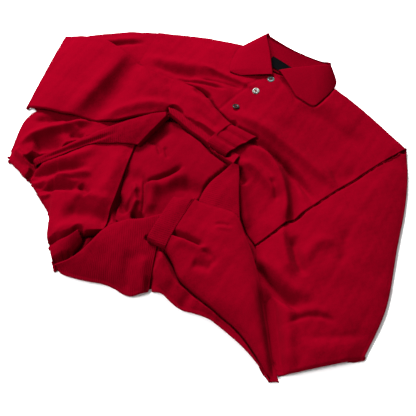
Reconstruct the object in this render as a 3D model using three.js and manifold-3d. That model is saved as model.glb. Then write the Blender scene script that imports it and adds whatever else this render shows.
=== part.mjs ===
// A long-sleeved knitted pullover with a shirt collar, a three-button placket and ribbed hem and
// cuffs, dropped on a table front side up: the lower body is bunched so that the hem opening faces
// up, and both forearms are folded back over the body.
// Millimetres, +Z up, +X to the wearer's left, +Y towards the neck side of the heap.
//
// Every cloth piece is a wall of one thickness. Its outer face is worked out from sections: a section
// runs across the piece from side a to side b, stands `crown` above the straight line between them,
// and the face passes smoothly through the sections in turn. Folds raise or sink the face along
// shallow arcs, and the sides of a piece turn under as round rolls. The layers that nobody sees share
// one rounded solid, hidden_layers, with a flat underside.

import * as THREE from 'three';
import Module from 'manifold-3d';
import * as BufferGeometryUtils from 'three/addons/utils/BufferGeometryUtils.js';

// ---- driving sizes -------------------------------------------------------------------------------

const CLOTH = 2.0;             // thickness of one layer of knit
const SEAM_GAP = 0.4;          // clearance between neighbouring pieces
const SIDE_GAP = 0.6;          // plan clearance beside a rolled side
const OPEN_GAP = 2.0;          // and beside one that doesn't roll under
const FLOOR_LIFT = 6.2;        // lowest point of a wall that rolls down over the layer under it
const BUTTON_DIAMETER = 12.2;
const BUTTON_THICKNESS = 2.6;
const PLACKET_WIDTH = 32;
const PLACKET_LIFT = 0.8;      // underside of the placket over the highest point of the front close by
const LABEL_LENGTH = 40;
const LABEL_WIDTH = 12;
const RED = 0xa60e26;
const RIB_RED = 0x9a0c22;
const DEEP_RED = 0x7c0a1b;

const wasm = await Module();
wasm.setup();

// ---- tables ---------------------------------------------------------------------------------------

const table = (columns, rows) => rows.map(
  (row) => Object.fromEntries(columns.map((name, k) => [name, row[k]])));

// Side a, side b and the crown between them.
const SECTION = ['ax', 'ay', 'az', 'bx', 'by', 'bz', 'crown'];
// From (x0, y0) to (x1, y1), bowed sideways by `bow` at the middle; `half` is the half-width,
// `height` is positive for a ridge and negative for a trough, and `lean` makes one flank longer.
const FOLD = ['x0', 'y0', 'x1', 'y1', 'bow', 'half', 'height', 'lean'];
// A section by its middle, its heading from side a to side b in degrees, and its width.
const SPINE = ['x', 'y', 'heading', 'width', 'az', 'bz', 'crown'];

const sections = (rows) => table(SECTION, rows);
const folds = (rows) => table(FOLD, rows);
const spine = (rows) => table(SPINE, rows).map(({ x, y, heading, width, az, bz, crown }) => {
  const turn = THREE.MathUtils.degToRad(heading);
  const [dx, dy] = [Math.cos(turn) * width / 2, Math.sin(turn) * width / 2];
  return { ax: x - dx, ay: y - dy, az, bx: x + dx, by: y + dy, bz, crown };
});

// ---- small maths ----------------------------------------------------------------------------------

const clamp = (v, lo, hi) => Math.min(hi, Math.max(lo, v));
const smooth = (v) => { const u = clamp(v, 0, 1); return u * u * (3 - 2 * u); };

// Catmull-Rom value of one column of a table at position p, counted in rows.
function along(rows, column, p) {
  const last = rows.length - 1;
  const k = clamp(Math.floor(p), 0, last - 1);
  const at = (i) => rows[clamp(i, 0, last)][column];
  const u = p - k;
  const [a, b, c, d] = [at(k - 1), at(k), at(k + 1), at(k + 2)];
  return b + 0.5 * u * (c - a + u * (2 * a - 5 * b + 4 * c - d + u * (3 * (b - c) + d - a)));
}

// Height that one fold adds at (x, y): a bell across its arc, faded over the first and last quarter.
function foldHeight(fold, x, y) {
  const dx = fold.x1 - fold.x0;
  const dy = fold.y1 - fold.y0;
  const length = Math.hypot(dx, dy);
  const u = ((x - fold.x0) * dx + (y - fold.y0) * dy) / (length * length);
  if (u <= 0 || u >= 1) return 0;
  const v = ((y - fold.y0) * dx - (x - fold.x0) * dy) / length - fold.bow * 4 * u * (1 - u);
  const half = fold.half * (v > 0 ? 1 + fold.lean : 1 - fold.lean);
  return fold.height * Math.exp(-((v / half) ** 2)) * smooth(4 * u) * smooth(4 * (1 - u));
}

// ---- cloth walls ----------------------------------------------------------------------------------

// Rows of a roll: how far round the turn each extra line of points lies, in degrees.
const ROLL_STEPS = [48, 94];

// Outer face of a piece as a grid of points. `edges` gives [out, down] for each side that rolls:
// side a, side b, the first and the last section. `down` of 'floor' rolls down to the table.
function outerFace(piece) {
  const { rows, creases = [], edges = {}, across = 8, perSection = 2 } = piece;
  const lines = (rows.length - 1) * perSection;
  const rolls = (edge) => (edge ? ROLL_STEPS.length : 0);
  const iFirst = -rolls(edges.first);
  const iLast = lines + rolls(edges.last);
  const jFirst = -rolls(edges.a);
  const jLast = across + rolls(edges.b);
  const base = (i, j) => {
    const p = i / perSection;
    const t = j / across;
    const mix = (c) => along(rows, `a${c}`, p) * (1 - t) + along(rows, `b${c}`, p) * t;
    const x = mix('x');
    const y = mix('y');
    let z = mix('z') + along(rows, 'crown', p) * (4 * t * (1 - t)) ** 0.8;
    for (const crease of creases) z += foldHeight(crease, x, y);
    return new THREE.Vector3(x, y, Math.max(z, FLOOR_LIFT + 2));
  };
  const turned = (point, inner, edge, step) => {
    const outward = point.clone().sub(inner).setZ(0);
    if (outward.lengthSq() < 1e-6) return;
    outward.normalize();
    const turn = THREE.MathUtils.degToRad(ROLL_STEPS[step - 1]);
    const down = edge[1] === 'floor' ? point.z - FLOOR_LIFT : edge[1];
    return { shift: outward.multiplyScalar(edge[0] * Math.sin(turn)), drop: down * (1 - Math.cos(turn)) };
  };
  const face = [];
  for (let i = iFirst; i <= iLast; i++) {
    const line = [];
    for (let j = jFirst; j <= jLast; j++) {
      const ci = clamp(i, 0, lines);
      const cj = clamp(j, 0, across);
      const point = base(ci, cj);
      const ground = base(ci, cj);
      const parts = [];
      if (i < 0) parts.push(turned(ground, base(1, cj), edges.first, -i));
      if (i > lines) parts.push(turned(ground, base(lines - 1, cj), edges.last, i - lines));
      if (j < 0) parts.push(turned(ground, base(ci, 1), edges.a, -j));
      if (j > across) parts.push(turned(ground, base(ci, across - 1), edges.b, j - across));
      for (const part of parts.filter(Boolean)) {
        point.add(part.shift);
        point.z -= part.drop;
      }
      point.z = Math.max(point.z, FLOOR_LIFT);
      line.push(point);
    }
    face.push(line);
  }
  return face;
}

// Unit normals of a grid of points, from the differences of neighbours.
function gridNormals(face) {
  const rowsOf = face.length;
  const columns = face[0].length;
  const at = (i, j) => face[clamp(i, 0, rowsOf - 1)][clamp(j, 0, columns - 1)];
  return face.map((line, i) => line.map((_, j) => {
    const du = at(i + 1, j).clone().sub(at(i - 1, j));
    const dv = at(i, j + 1).clone().sub(at(i, j - 1));
    const normal = du.cross(dv);
    if (normal.lengthSq() < 1e-9) return new THREE.Vector3(0, 0, 1);
    return normal.normalize();
  }));
}

// Closed body between two grids of points of the same size.
function bodyBetween(outer, inner) {
  const rowsOf = outer.length;
  const columns = outer[0].length;
  const points = [...outer.flat(), ...inner.flat()];
  const o = (i, j) => i * columns + j;
  const n = (i, j) => rowsOf * columns + i * columns + j;
  const faces = [];
  const quad = (a, b, c, d) => faces.push(a, b, c, a, c, d);
  for (let i = 0; i + 1 < rowsOf; i++) {
    for (let j = 0; j + 1 < columns; j++) {
      quad(o(i, j), o(i + 1, j), o(i + 1, j + 1), o(i, j + 1));
      quad(n(i, j), n(i, j + 1), n(i + 1, j + 1), n(i + 1, j));
    }
    quad(n(i, 0), n(i + 1, 0), o(i + 1, 0), o(i, 0));
    quad(o(i, columns - 1), o(i + 1, columns - 1), n(i + 1, columns - 1), n(i, columns - 1));
  }
  for (let j = 0; j + 1 < columns; j++) {
    quad(o(0, j), o(0, j + 1), n(0, j + 1), n(0, j));
    quad(n(rowsOf - 1, j), n(rowsOf - 1, j + 1), o(rowsOf - 1, j + 1), o(rowsOf - 1, j));
  }
  return solidOf(points, faces);
}

function solidOf(points, faces) {
  const vertProperties = new Float32Array(points.flatMap((p) => [p.x, p.y, p.z]));
  const mesh = new wasm.Mesh({ numProp: 3, vertProperties, triVerts: new Uint32Array(faces) });
  mesh.merge();
  const solid = new wasm.Manifold(mesh);
  return solid.volume() < 0 ? solidOf(points, faces.reverse()) : solid;
}

// True where the grid's normals point up on the whole: sections may run either way.
function pointsUp(normals) {
  return normals.flat().reduce((sum, v) => sum + v.z, 0) > 0;
}

function wall(piece) {
  const outer = outerFace(piece);
  const normals = gridNormals(outer);
  const side = pointsUp(normals) ? -1 : 1;
  const thickness = piece.thickness ?? CLOTH;
  const inner = outer.map((line, i) => line.map((point, j) => {
    const moved = point.clone().addScaledVector(normals[i][j], side * thickness);
    moved.z = Math.max(moved.z, FLOOR_LIFT - CLOTH);
    return moved;
  }));
  return bodyBetween(outer, inner);
}

// Everything above and below a piece, with its seam clearance: what it keeps free of other cloth.
// A side that doesn't roll under may lean out by its thickness, so it gets the wider clearance.
function keepOut(piece) {
  const face = outerFace(piece);
  const edges = piece.edges ?? {};
  const lastLine = face.length - 1;
  const lastColumn = face[0].length - 1;
  const grown = face.map((line, i) => line.map((point, j) => {
    const out = point.clone();
    const grow = (inner, edge) => out.addScaledVector(
      point.clone().sub(inner).setZ(0).normalize(), edge ? SIDE_GAP : OPEN_GAP);
    if (i === 0) grow(face[1][j], edges.first);
    if (i === lastLine) grow(face[i - 1][j], edges.last);
    if (j === 0) grow(line[1], edges.a);
    if (j === lastColumn) grow(line[j - 1], edges.b);
    return out;
  }));
  const level = (z) => grown.map((line) => line.map((p) => new THREE.Vector3(p.x, p.y, z)));
  return bodyBetween(level(160), level(-20));
}

// The largest body of a solid: clearance may cut a sliver off a corner.
function mainBody(solid) {
  return solid.decompose().reduce((best, body) => (body.volume() > best.volume() ? body : best));
}

// ---- the pieces -----------------------------------------------------------------------------------

// Front of the body, from the shoulder line down to the bunched waist; the last section is the
// armhole of the left sleeve.
const frontPanel = {
  rows: sections([
    [-92, 373, 10, -150, 240, 12, 4],
    [-15, 360, 14, -78, 215, 18, 6],
    [55, 336, 26, -10, 172, 26, 6],
    [112, 300, 38, 28, 120, 28, 4],
    [168, 264, 42, 46, 60, 24, 4],
    [216, 232, 32, 50, 0, 16, 4],
    [272, 182, 20, 60, -38, 12, 6],
    [328, 118, 11, 74, -62, 12, 8],
  ]),
  creases: folds([
    [-120, 315, 20, 272, 0, 14, 6, 0],  // yoke, above the folded sleeve
    [-70, 282, 75, 226, 8, 14, -5, 0],  // hollow beside the placket
    [-40, 262, 45, 208, 10, 13, 5, 0],  // roll along the folded sleeve
    [16, 196, 220, 36, 12, 17, 14, 0.25],  // chest fold, over the bunched waist
    [30, 156, 180, 6, 24, 17, -12, -0.2],  // hollow under the chest fold
    [62, 130, 118, -46, 32, 16, 12, 0],  // side fold
    [40, 60, 58, -40, 4, 12, 6, 0],  // roll along the hem
    [124, 240, 262, 136, 6, 18, 6, 0],  // fold from the collar to the shoulder
    [196, 60, 250, 66, -6, 14, -4, 0],  // slack at the armhole
  ]),
  edges: { a: [8, 'floor'], last: [2, 4] },
  across: 18,
  perSection: 4,
};

// Right sleeve: the upper arm lies under the forearm, which is folded back over the chest.
const sleeveRightUpper = {
  rows: sections([
    [-236, 364, 9, -240, 310, 9, 0],
    [-205, 369, 12, -215, 296, 10, 2],
    [-150, 374, 14, -160, 280, 12, 4],
    [-92, 373, 12, -150, 240, 14, 4],
  ]),
  creases: folds([[-215, 350, -110, 350, 2, 12, 6, 0]]),
  edges: { a: [7, 'floor'], last: [2, 4] },
  across: 3,
};

const sleeveRightFore = {
  rows: spine([
    [-286, 291, -108, 168, 10, 12, 2],
    [-250, 280, -105, 168, 20, 22, 5],
    [-200, 260, -105, 160, 34, 24, 4],
    [-150, 235, -105, 130, 32, 25, 2],
    [-105, 225, -100, 90, 30, 30, 2],
    [-55, 215, -100, 65, 32, 31, 3],
    [-20, 190, -110, 65, 34, 31, 5],
    [0, 160, -115, 55, 36, 33, 5],
    [20, 135, -135, 50, 37, 34, 5],
  ]),
  creases: folds([
    [-245, 172, -140, 324, -8, 18, 11, 0.3],  // elbow ridge
    [-226, 138, -112, 318, -6, 20, -12, 0],  // hollow beyond the elbow
    [-190, 150, -40, 196, 12, 10, 6, 0],  // roll at the near side
    [-130, 290, -90, 210, 0, 12, 4, 0],
    [-75, 258, -62, 180, 4, 9, -3, 0],
    [-35, 225, 25, 150, 6, 7, 4, 0],  // pulled folds towards the cuff
    [-25, 190, 20, 138, -2, 6, -4, 0],
  ]),
  edges: { a: [4, 8], b: [4, 9], first: [4, 'floor'], last: [2, 4] },
  across: 7,
};

const cuffRight = {
  rows: sections([
    [35, 155, 36, 0, 120, 34, 5],
    [58, 139, 38, 17, 106, 35, 5],
    [79, 126, 39, 32, 96, 36, 4],
  ]),
  edges: { a: [3, 7], b: [3, 7], first: [2, 4] },
  across: 5,
};

// Left sleeve: the upper arm lies flat, folded at the elbow, with the forearm back on top of it.
const sleeveLeftUpper = {
  rows: spine([
    [202, 25, 35, 310, 14, 10, 14],
    [200, -25, 35, 305, 10, 10, 16],
    [195, -80, 35, 285, 8, 10, 16],
    [190, -140, 35, 245, 7, 10, 14],
    [176, -210, 25, 188, 7, 9, 10],
    [162, -252, 10, 126, 8, 7, 5],
  ]),
  creases: folds([
    [128, -38, 148, -128, -8, 12, 8, 0],  // underarm ridge
    [136, -50, 156, -112, -6, 9, -8, 0],  // underarm hollow
    [88, -88, 140, -176, 14, 12, -8, 0],  // crease to the elbow
    [100, -84, 172, -170, 10, 16, 6, 0],
    [118, -176, 132, -256, -6, 12, 5, 0],
    [150, -190, 228, -192, 6, 9, -4, 0],
    [240, -28, 208, -110, 6, 12, -3, 0],
    [130, -232, 232, -205, -8, 20, 4, 0],
  ]),
  edges: { b: [7, 'floor'], last: [7, 'floor'], first: [2, 4] },
  across: 10,
  perSection: 3,
};

const sleeveLeftFore = {
  rows: spine([
    [94, -279, 0, 2, 9, 10, 1],
    [82, -242, 0, 17, 15, 20, 4],
    [67, -202, 8, 38, 17, 25, 8],
    [45, -160, 17, 70, 20, 28, 11],
    [25, -120, 30, 98, 20, 32, 13],
    [8, -92, 32, 115, 25, 34, 12],
    [-5, -60, 40, 120, 26, 37, 10],
    [-30, -45, 50, 95, 30, 41, 7],
    [-45, -35, 60, 85, 34, 43, 4],
  ]),
  creases: folds([
    [-62, -62, 8, -92, 4, 5, -6, 0.3],  // crease from the cuff
    [-50, -76, 20, -104, 6, 9, 5, 0],  // and the fold beside it
    [18, -86, 28, -116, 4, 6, -4, 0],  // short crease on the fold
    [-30, -118, 12, -116, 4, 9, -6, 0],  // dent near the elbow side
    [-20, -20, 70, -230, 30, 24, 4, 0],
    [22, -30, 40, -60, 2, 7, 3, 0],
  ]),
  edges: { a: [4, 8], b: [5, 13], first: [3, 'floor'], last: [2, 4] },
  across: 7,
};

const cuffLeft = {
  rows: sections([
    [-65, -76, 34, -25, 3, 43, 4],
    [-79, -69, 37, -40, 4, 44, 4],
    [-93, -60, 39, -55, 6, 43, 3],
  ]),
  edges: { a: [3, 7], b: [3, 7], first: [2, 4] },
  across: 5,
};

// Left over on the hem side of the right sleeve: the edge strip of the front with its hem.
const hemFront = {
  rows: sections([
    [-67, 200, 28, -65, 173, 44, 1],
    [-34, 176, 27, -32, 147, 34, 1],
    [-6, 152, 27, -8, 127, 32, 1],
    [24, 120, 28, 19, 97, 32, 1],
    [52, 94, 32, 42, 75, 38, 1],
  ]),
  edges: { b: [3, 8] },
  across: 3,
};

const hemFlap = {
  rows: sections([
    [41, 73, 39, 50, 71, 37, 0],
    [22, 55, 37, 51, 50, 36, 2],
    [3, 37, 34, 50, 18, 36, 4],
    [-9, 16, 33, 50, -10, 35, 4],
    [-16, -6, 33, 50, -34, 34, 2],
  ]),
  edges: { a: [4, 12] },
  across: 4,
};

// Left side of the heap: the side of the body, with the far part of the rib hem on it.
const bodySideUpper = {
  rows: spine([
    [-331, 112, -90, 20, 8, 8, 0],
    [-316, 132, -90, 92, 8, 10, 3],
    [-290, 136, -95, 134, 8, 14, 5],
    [-245, 146, -95, 104, 9, 20, 2],
    [-190, 155, -105, 60, 14, 20, 0],
    [-135, 165, -105, 25, 15, 20, 0],
  ]),
  creases: folds([
    [-140, 160, -312, 118, 20, 12, 15, 0],
    [-262, 152, -272, 84, 0, 15, -12, 0],
    [-290, 146, -286, 90, -6, 9, 10, 0],
    [-228, 150, -150, 164, 0, 12, 5, 0],
  ]),
  edges: { a: [6, 'floor'], first: [5, 'floor'], b: [6, 'floor'] },
  across: 7,
  perSection: 2,
};

const hemRibFar = {
  rows: spine([
    [-285, 92, -70, 11, 15, 13, 1],
    [-252, 104, -70, 12, 24, 21, 2],
    [-201, 126, -80, 15, 30, 26, 3],
    [-156, 138, -105, 34, 36, 27, 3],
    [-120, 145, -125, 60, 40, 28, 3],
    [-90, 147, -134, 80, 42, 28, 2],
  ]),
  edges: { a: [4, 12], last: [3, 8] },
  across: 4,
};

const bodySideLower = {
  rows: spine([
    [-285, 74, -115, 30, 10, 9, 0],
    [-269, 62, -100, 64, 18, 10, 2],
    [-252, 54, -95, 112, 22, 10, 4],
    [-246, 33, -95, 168, 23, 15, 4],
    [-215, 38, -100, 186, 23, 26, 2],
    [-187, 42, -105, 190, 24, 30, -2],
    [-162, 44, -105, 182, 25, 32, 0],
    [-144, 44, -105, 168, 25, 30, 0],
  ]),
  creases: folds([
    [-304, 82, -170, 112, -6, 11, 6, 0],  // roll below the hem
    [-300, 58, -150, 84, -4, 12, -8, 0],  // long hollow
    [-280, 42, -150, 66, -2, 11, 7, 0],
    [-232, 22, -140, 20, -4, 13, 6, 0],
    [-238, -6, -146, -20, 4, 18, -12, 0],  // broad hollow above the loop
    [-250, -50, -180, -38, 8, 11, 5, 0],
  ]),
  edges: { b: [4, 12], first: [4, 'floor'], last: [2, 5] },
  across: 9,
};

const hemRibLoop = {
  rows: spine([
    [-242, -82, -75, 34, 16, 8, 2],
    [-230, -76, -80, 31, 25, 12, 3],
    [-214, -66, -85, 22, 30, 16, 2],
    [-200, -52, -65, 12, 32, 22, 1],
  ]),
  edges: { a: [3, 7], b: [3, 8], first: [3, 'floor'] },
  across: 4,
};

const hemRibNear = {
  rows: spine([
    [-235, -100, -55, 8, 12, 10, 0],
    [-213, -100, -90, 20, 20, 10, 1],
    [-186, -94, -92, 46, 30, 10, 4],
    [-162, -82, -95, 78, 36, 10, 8],
    [-138, -80, -100, 97, 38, 10, 10],
    [-110, -85, -100, 115, 36, 10, 7],
    [-80, -75, -100, 120, 31, 10, 5],
  ]),
  creases: folds([
    [-92, -50, -112, -134, -14, 11, -8, 0],
    [-84, -50, -100, -130, -14, 9, 5, 0],
  ]),
  edges: { a: [5, 12], b: [6, 'floor'] },
  across: 8,
};

// Back of the body: its inside shows through the hem opening, and its edge along the near side.
const backInside = {
  rows: sections([
    [-128, 134, 13, -148, -18, 12, 0],
    [-96, 158, 17, -124, -30, 12, 2],
    [-62, 165, 26, -92, -24, 14, 4],
    [-12, 134, 29, -45, -4, 17, 4],
    [44, 74, 30, 0, 0, 20, 2],
  ]),
  creases: folds([
    [-100, 122, -66, 158, 0, 14, -8, 0],
    [-112, 44, -40, 78, -6, 10, -12, 0],
    [-104, 36, -36, 62, -4, 11, 6, 0],
    [-74, 10, 0, 46, 4, 14, -6, 0],
    [-108, 46, -108, -16, 4, 8, 7, 0],
    [-122, 44, -120, -18, 4, 8, -5, 0],
    [-140, 54, -160, -30, 0, 12, -5, 0],
  ]),
  across: 8,
  perSection: 3,
};

const backLower = {
  rows: spine([
    [-90, -95, -85, 75, 34, 10, 7],
    [-70, -105, -90, 65, 32, 10, 6],
    [-45, -130, -90, 60, 28, 9, 5],
    [-10, -155, -80, 40, 24, 8, 3],
    [20, -175, -100, 30, 22, 8, 2],
    [50, -205, -100, 25, 17, 8, 1],
    [78, -243, -115, 12, 12, 8, 0],
  ]),
  creases: folds([
    [-86, -88, -86, -140, 0, 7, -6, 0],
    [-76, -84, -62, -142, 0, 10, 5, 0],
    [-22, -142, -44, -168, 0, 8, -5, 0],
    [-12, -156, 22, -186, 0, 8, 4, 0],
  ]),
  edges: { b: [7, 'floor'] },
  across: 4,
};

// Collar: one leaf that runs round the neck, from front edge to front edge; side a is its roll line.
const collar = {
  rows: sections([
    [110, 254, 49, 58, 257, 37, 1],
    [109, 266, 50, 40, 268, 35, 1],
    [107, 298, 52, 43, 298, 32, 1],
    [103, 330, 54, 58, 328, 29, 1],
    [105, 340, 54, 86, 346, 22, 1],
    [114, 329, 53, 122, 341, 17, 1],
    [150, 303, 50, 158, 315, 15, 1],
    [190, 284, 46, 199, 295, 14, 1],
    [211, 277, 45, 224, 272, 15, 1],
    [213, 273, 45, 224, 246, 24, 1],
    [200, 271, 47, 206, 218, 31, 1],
    [182, 269, 48, 189, 195, 36, 1],
    [160, 265, 50, 171, 202, 39, 1],
    [124, 258, 50, 150, 214, 42, 1],
  ]),
  edges: { a: [3, 7] },
  across: 4,
  perSection: 2,
};

// Inside of the neck: the stand of the collar, down to the back neckline.
const collarStand = {
  rows: sections([
    [109, 333, 49, 105, 279, 38, -1],
    [133, 313, 48, 119, 264, 37, -2],
    [160, 295, 46, 143, 255, 37, -2],
    [190, 281, 44, 168, 257, 39, -1],
    [209, 275, 43, 190, 264, 42, 0],
  ]),
  across: 4,
  perSection: 2,
};

// ---- what lies on the panels ----------------------------------------------------------------------

// Highest point of a grid face over (x, y), or null where the face isn't there.
function heightOn(face, x, y) {
  let best = null;
  for (let i = 0; i + 1 < face.length; i++) {
    for (let j = 0; j + 1 < face[0].length; j++) {
      const [a, b, c, d] = [face[i][j], face[i + 1][j], face[i + 1][j + 1], face[i][j + 1]];
      for (const [p, q, r] of [[a, b, c], [a, c, d]]) {
        const area = (q.x - p.x) * (r.y - p.y) - (r.x - p.x) * (q.y - p.y);
        if (Math.abs(area) < 1e-6) continue;
        const v = ((x - p.x) * (r.y - p.y) - (r.x - p.x) * (y - p.y)) / area;
        const w = ((q.x - p.x) * (y - p.y) - (x - p.x) * (q.y - p.y)) / area;
        if (v < -1e-6 || w < -1e-6 || v + w > 1 + 1e-6) continue;
        const z = p.z + v * (q.z - p.z) + w * (r.z - p.z);
        if (best === null || z > best) best = z;
      }
    }
  }
  return best;
}

// Placket: from the collar's front edge down the chest; buttons sit on its middle line.
const PLACKET_TOP = new THREE.Vector2(120, 255);
const PLACKET_END = new THREE.Vector2(28, 172);
const BUTTON_PLACES = [0.12, 0.41, 0.79];       // share of the way down the placket
const placketAlong = PLACKET_END.clone().sub(PLACKET_TOP);
const placketAcross = new THREE.Vector2(placketAlong.y, -placketAlong.x).normalize();

function onPlacket(share, side) {
  return PLACKET_TOP.clone().addScaledVector(placketAlong, share)
    .addScaledVector(placketAcross, side * PLACKET_WIDTH / 2);
}

// A patch that lies on a face: a grid of plan points raised to the highest point of the face close
// by, moved out by `lift`.
const PATCH_REACH = 4;
function patchOn(face, planPoint, steps, lift) {
  const outer = [];
  for (let i = 0; i <= steps[0]; i++) {
    const line = [];
    for (let j = 0; j <= steps[1]; j++) {
      const { x, y } = planPoint(i / steps[0], j / steps[1]);
      const near = [[0, 0], [1, 0], [-1, 0], [0, 1], [0, -1]].map(
        ([dx, dy]) => heightOn(face, x + dx * PATCH_REACH, y + dy * PATCH_REACH) ?? 0);
      line.push(new THREE.Vector3(x, y, Math.max(...near) + lift));
    }
    outer.push(line);
  }
  return outer;
}

function patchSolid(outer, thickness) {
  const inner = outer.map((line) => line.map((p) => new THREE.Vector3(p.x, p.y, p.z - thickness)));
  return bodyBetween(outer, inner);
}

// ---- the hidden layers ----------------------------------------------------------------------------

const CELL = 4;                 // spacing of the height samples under the walls
const HEAP_REACH = 440;         // half-width of the square that holds the heap
const HEAP_CENTRE = new THREE.Vector2(0, 40);
const RIM_STEPS = 84;           // points round the rim
const RINGS = 12;               // rings from the rim to the middle
const WINDOW = 38;              // how far round a point the walls above it are looked at
// Rounded lower layer at the rim: inset from the walls' outline, and height.
const RIM_PROFILE = table(['inset', 'height'], [[7, 0], [2.4, 0.9], [1.4, 2.3], [2.6, 3.7]]);

// Lowest height of any wall over each cell of the heap.
function lowestWall(solids) {
  const across = Math.ceil(2 * HEAP_REACH / CELL);
  const low = new Float32Array(across * across).fill(Infinity);
  const cell = (v) => Math.floor((v + HEAP_REACH) / CELL);
  for (const solid of solids) {
    const mesh = solid.getMesh();
    const corner = (t, k) => {
      const v = mesh.triVerts[3 * t + k] * mesh.numProp;
      return mesh.vertProperties.subarray(v, v + 3);
    };
    for (let t = 0; t < mesh.triVerts.length / 3; t++) {
      const [p, q, r] = [corner(t, 0), corner(t, 1), corner(t, 2)];
      const reach = Math.max(Math.hypot(q[0] - p[0], q[1] - p[1]), Math.hypot(r[0] - p[0], r[1] - p[1]));
      const steps = Math.ceil(reach / (0.6 * CELL)) + 1;
      for (let a = 0; a <= steps; a++) {
        for (let b = 0; a + b <= steps; b++) {
          const [v, w] = [a / steps, b / steps];
          const at = (k) => p[k] + v * (q[k] - p[k]) + w * (r[k] - p[k]);
          const index = cell(at(1)) * across + cell(at(0));
          low[index] = Math.min(low[index], at(2));
        }
      }
    }
  }
  return { low, across, cell };
}

function hiddenLayers(solids) {
  const { low, across, cell } = lowestWall(solids);
  const covered = (x, y) => low[cell(y) * across + cell(x)] < Infinity;
  const under = (x, y) => {
    let z = Infinity;
    const n = Math.ceil(WINDOW / CELL);
    for (let i = -n; i <= n; i++) {
      for (let j = -n; j <= n; j++) {
        if (Math.hypot(i, j) * CELL > WINDOW) continue;
        z = Math.min(z, low[(cell(y) + i) * across + cell(x) + j] ?? Infinity);
      }
    }
    return (z < Infinity ? z : FLOOR_LIFT) - SEAM_GAP;
  };
  const rim = [];
  for (let k = 0; k < RIM_STEPS; k++) {
    const angle = 2 * Math.PI * k / RIM_STEPS;
    const ray = new THREE.Vector2(Math.cos(angle), Math.sin(angle));
    let reach = HEAP_REACH - 2 * CELL;
    while (reach > 0 && !covered(HEAP_CENTRE.x + ray.x * reach, HEAP_CENTRE.y + ray.y * reach)) reach -= 1;
    rim.push({ ray, reach });
  }
  const eased = rim.map(({ reach }, k) => Math.min(
    reach, (rim.at(k - 1).reach + 2 * reach + rim[(k + 1) % RIM_STEPS].reach) / 4 + 2));
  const points = [];
  const place = (k, reach, z) => {
    const { ray } = rim[k];
    points.push(new THREE.Vector3(HEAP_CENTRE.x + ray.x * reach, HEAP_CENTRE.y + ray.y * reach, z));
  };
  for (const { inset, height } of RIM_PROFILE) eased.forEach((reach, k) => place(k, reach - inset, height));
  for (let ring = RINGS - 1; ring > 0; ring--) {
    eased.forEach((reach, k) => {
      const r = (reach - 8) * (ring + 0.6) / (RINGS - 0.4);
      const { ray } = rim[k];
      place(k, r, under(HEAP_CENTRE.x + ray.x * r, HEAP_CENTRE.y + ray.y * r));
    });
  }
  const lines = RIM_PROFILE.length + RINGS - 1;
  const top = points.push(new THREE.Vector3(HEAP_CENTRE.x, HEAP_CENTRE.y,
    under(HEAP_CENTRE.x, HEAP_CENTRE.y))) - 1;
  const floor = points.push(new THREE.Vector3(HEAP_CENTRE.x, HEAP_CENTRE.y, 0)) - 1;
  const faces = [];
  for (let k = 0; k < RIM_STEPS; k++) {
    const next = (k + 1) % RIM_STEPS;
    for (let line = 0; line + 1 < lines; line++) {
      const [a, b] = [line * RIM_STEPS + k, line * RIM_STEPS + next];
      const [c, d] = [b + RIM_STEPS, a + RIM_STEPS];
      faces.push(a, b, c, a, c, d);
    }
    faces.push((lines - 1) * RIM_STEPS + k, (lines - 1) * RIM_STEPS + next, top, next, k, floor);
  }
  return solidOf(points, faces);
}

// ---- buttons and label ----------------------------------------------------------------------------

// A turned disc with a raised rim round a dish and four thread holes, standing on its underside.
const BUTTON_PROFILE = table(['share', 'height'],
  [[0, 0], [0.82, 0], [1, 0.35], [1, 0.75], [0.88, 1], [0.72, 0.95], [0.6, 0.68], [0, 0.62]]);

function buttonSolid() {
  const radius = BUTTON_DIAMETER / 2;
  const profile = BUTTON_PROFILE.map(
    ({ share, height }) => new THREE.Vector2(share * radius, height * BUTTON_THICKNESS));
  let solid = closed(new THREE.LatheGeometry(profile, 16).rotateX(Math.PI / 2));
  for (const [dx, dy] of [[1, 1], [1, -1], [-1, 1], [-1, -1]]) {
    const hole = new THREE.CylinderGeometry(radius * 0.13, radius * 0.13, 3 * BUTTON_THICKNESS, 6);
    hole.rotateX(Math.PI / 2).translate(dx * radius * 0.22, dy * radius * 0.22, 0);
    solid = solid.subtract(closed(hole));
  }
  return solid;
}

// A three.js geometry with shared vertices, as a solid.
function closed(geometry) {
  const bare = geometry.clone();
  bare.deleteAttribute('normal');
  bare.deleteAttribute('uv');
  const merged = BufferGeometryUtils.mergeVertices(bare, 1e-4);
  const corners = merged.getAttribute('position');
  const points = Array.from({ length: corners.count },
    (_, k) => new THREE.Vector3().fromBufferAttribute(corners, k));
  return solidOf(points, Array.from(merged.getIndex().array));
}

// ---- assembly -------------------------------------------------------------------------------------

// From the top of the heap down: each piece ends at the seam clearance round those above it.
const CLOTH_PIECES = [
  ['cuff_left', cuffLeft, RIB_RED],
  ['sleeve_left_forearm', sleeveLeftFore, RED],
  ['cuff_right', cuffRight, RIB_RED],
  ['hem_rib_front', hemFront, RIB_RED],
  ['hem_rib_far', hemRibFar, RIB_RED],
  ['sleeve_right_forearm', sleeveRightFore, RED],
  ['collar', collar, RIB_RED],
  ['collar_stand', collarStand, DEEP_RED],
  ['hem_rib_near', hemRibNear, RIB_RED],
  ['hem_rib_side', hemFlap, RIB_RED],
  ['front_panel', frontPanel, RED],
  ['sleeve_left_upper_arm', sleeveLeftUpper, RED],
  ['hem_rib_loop', hemRibLoop, RIB_RED],
  ['body_side_low', bodySideLower, RED],
  ['body_side_far', bodySideUpper, RED],
  ['back_panel_edge', backLower, DEEP_RED],
  ['back_panel_inside', backInside, DEEP_RED],
  ['sleeve_right_upper_arm', sleeveRightUpper, RED],
];

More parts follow.
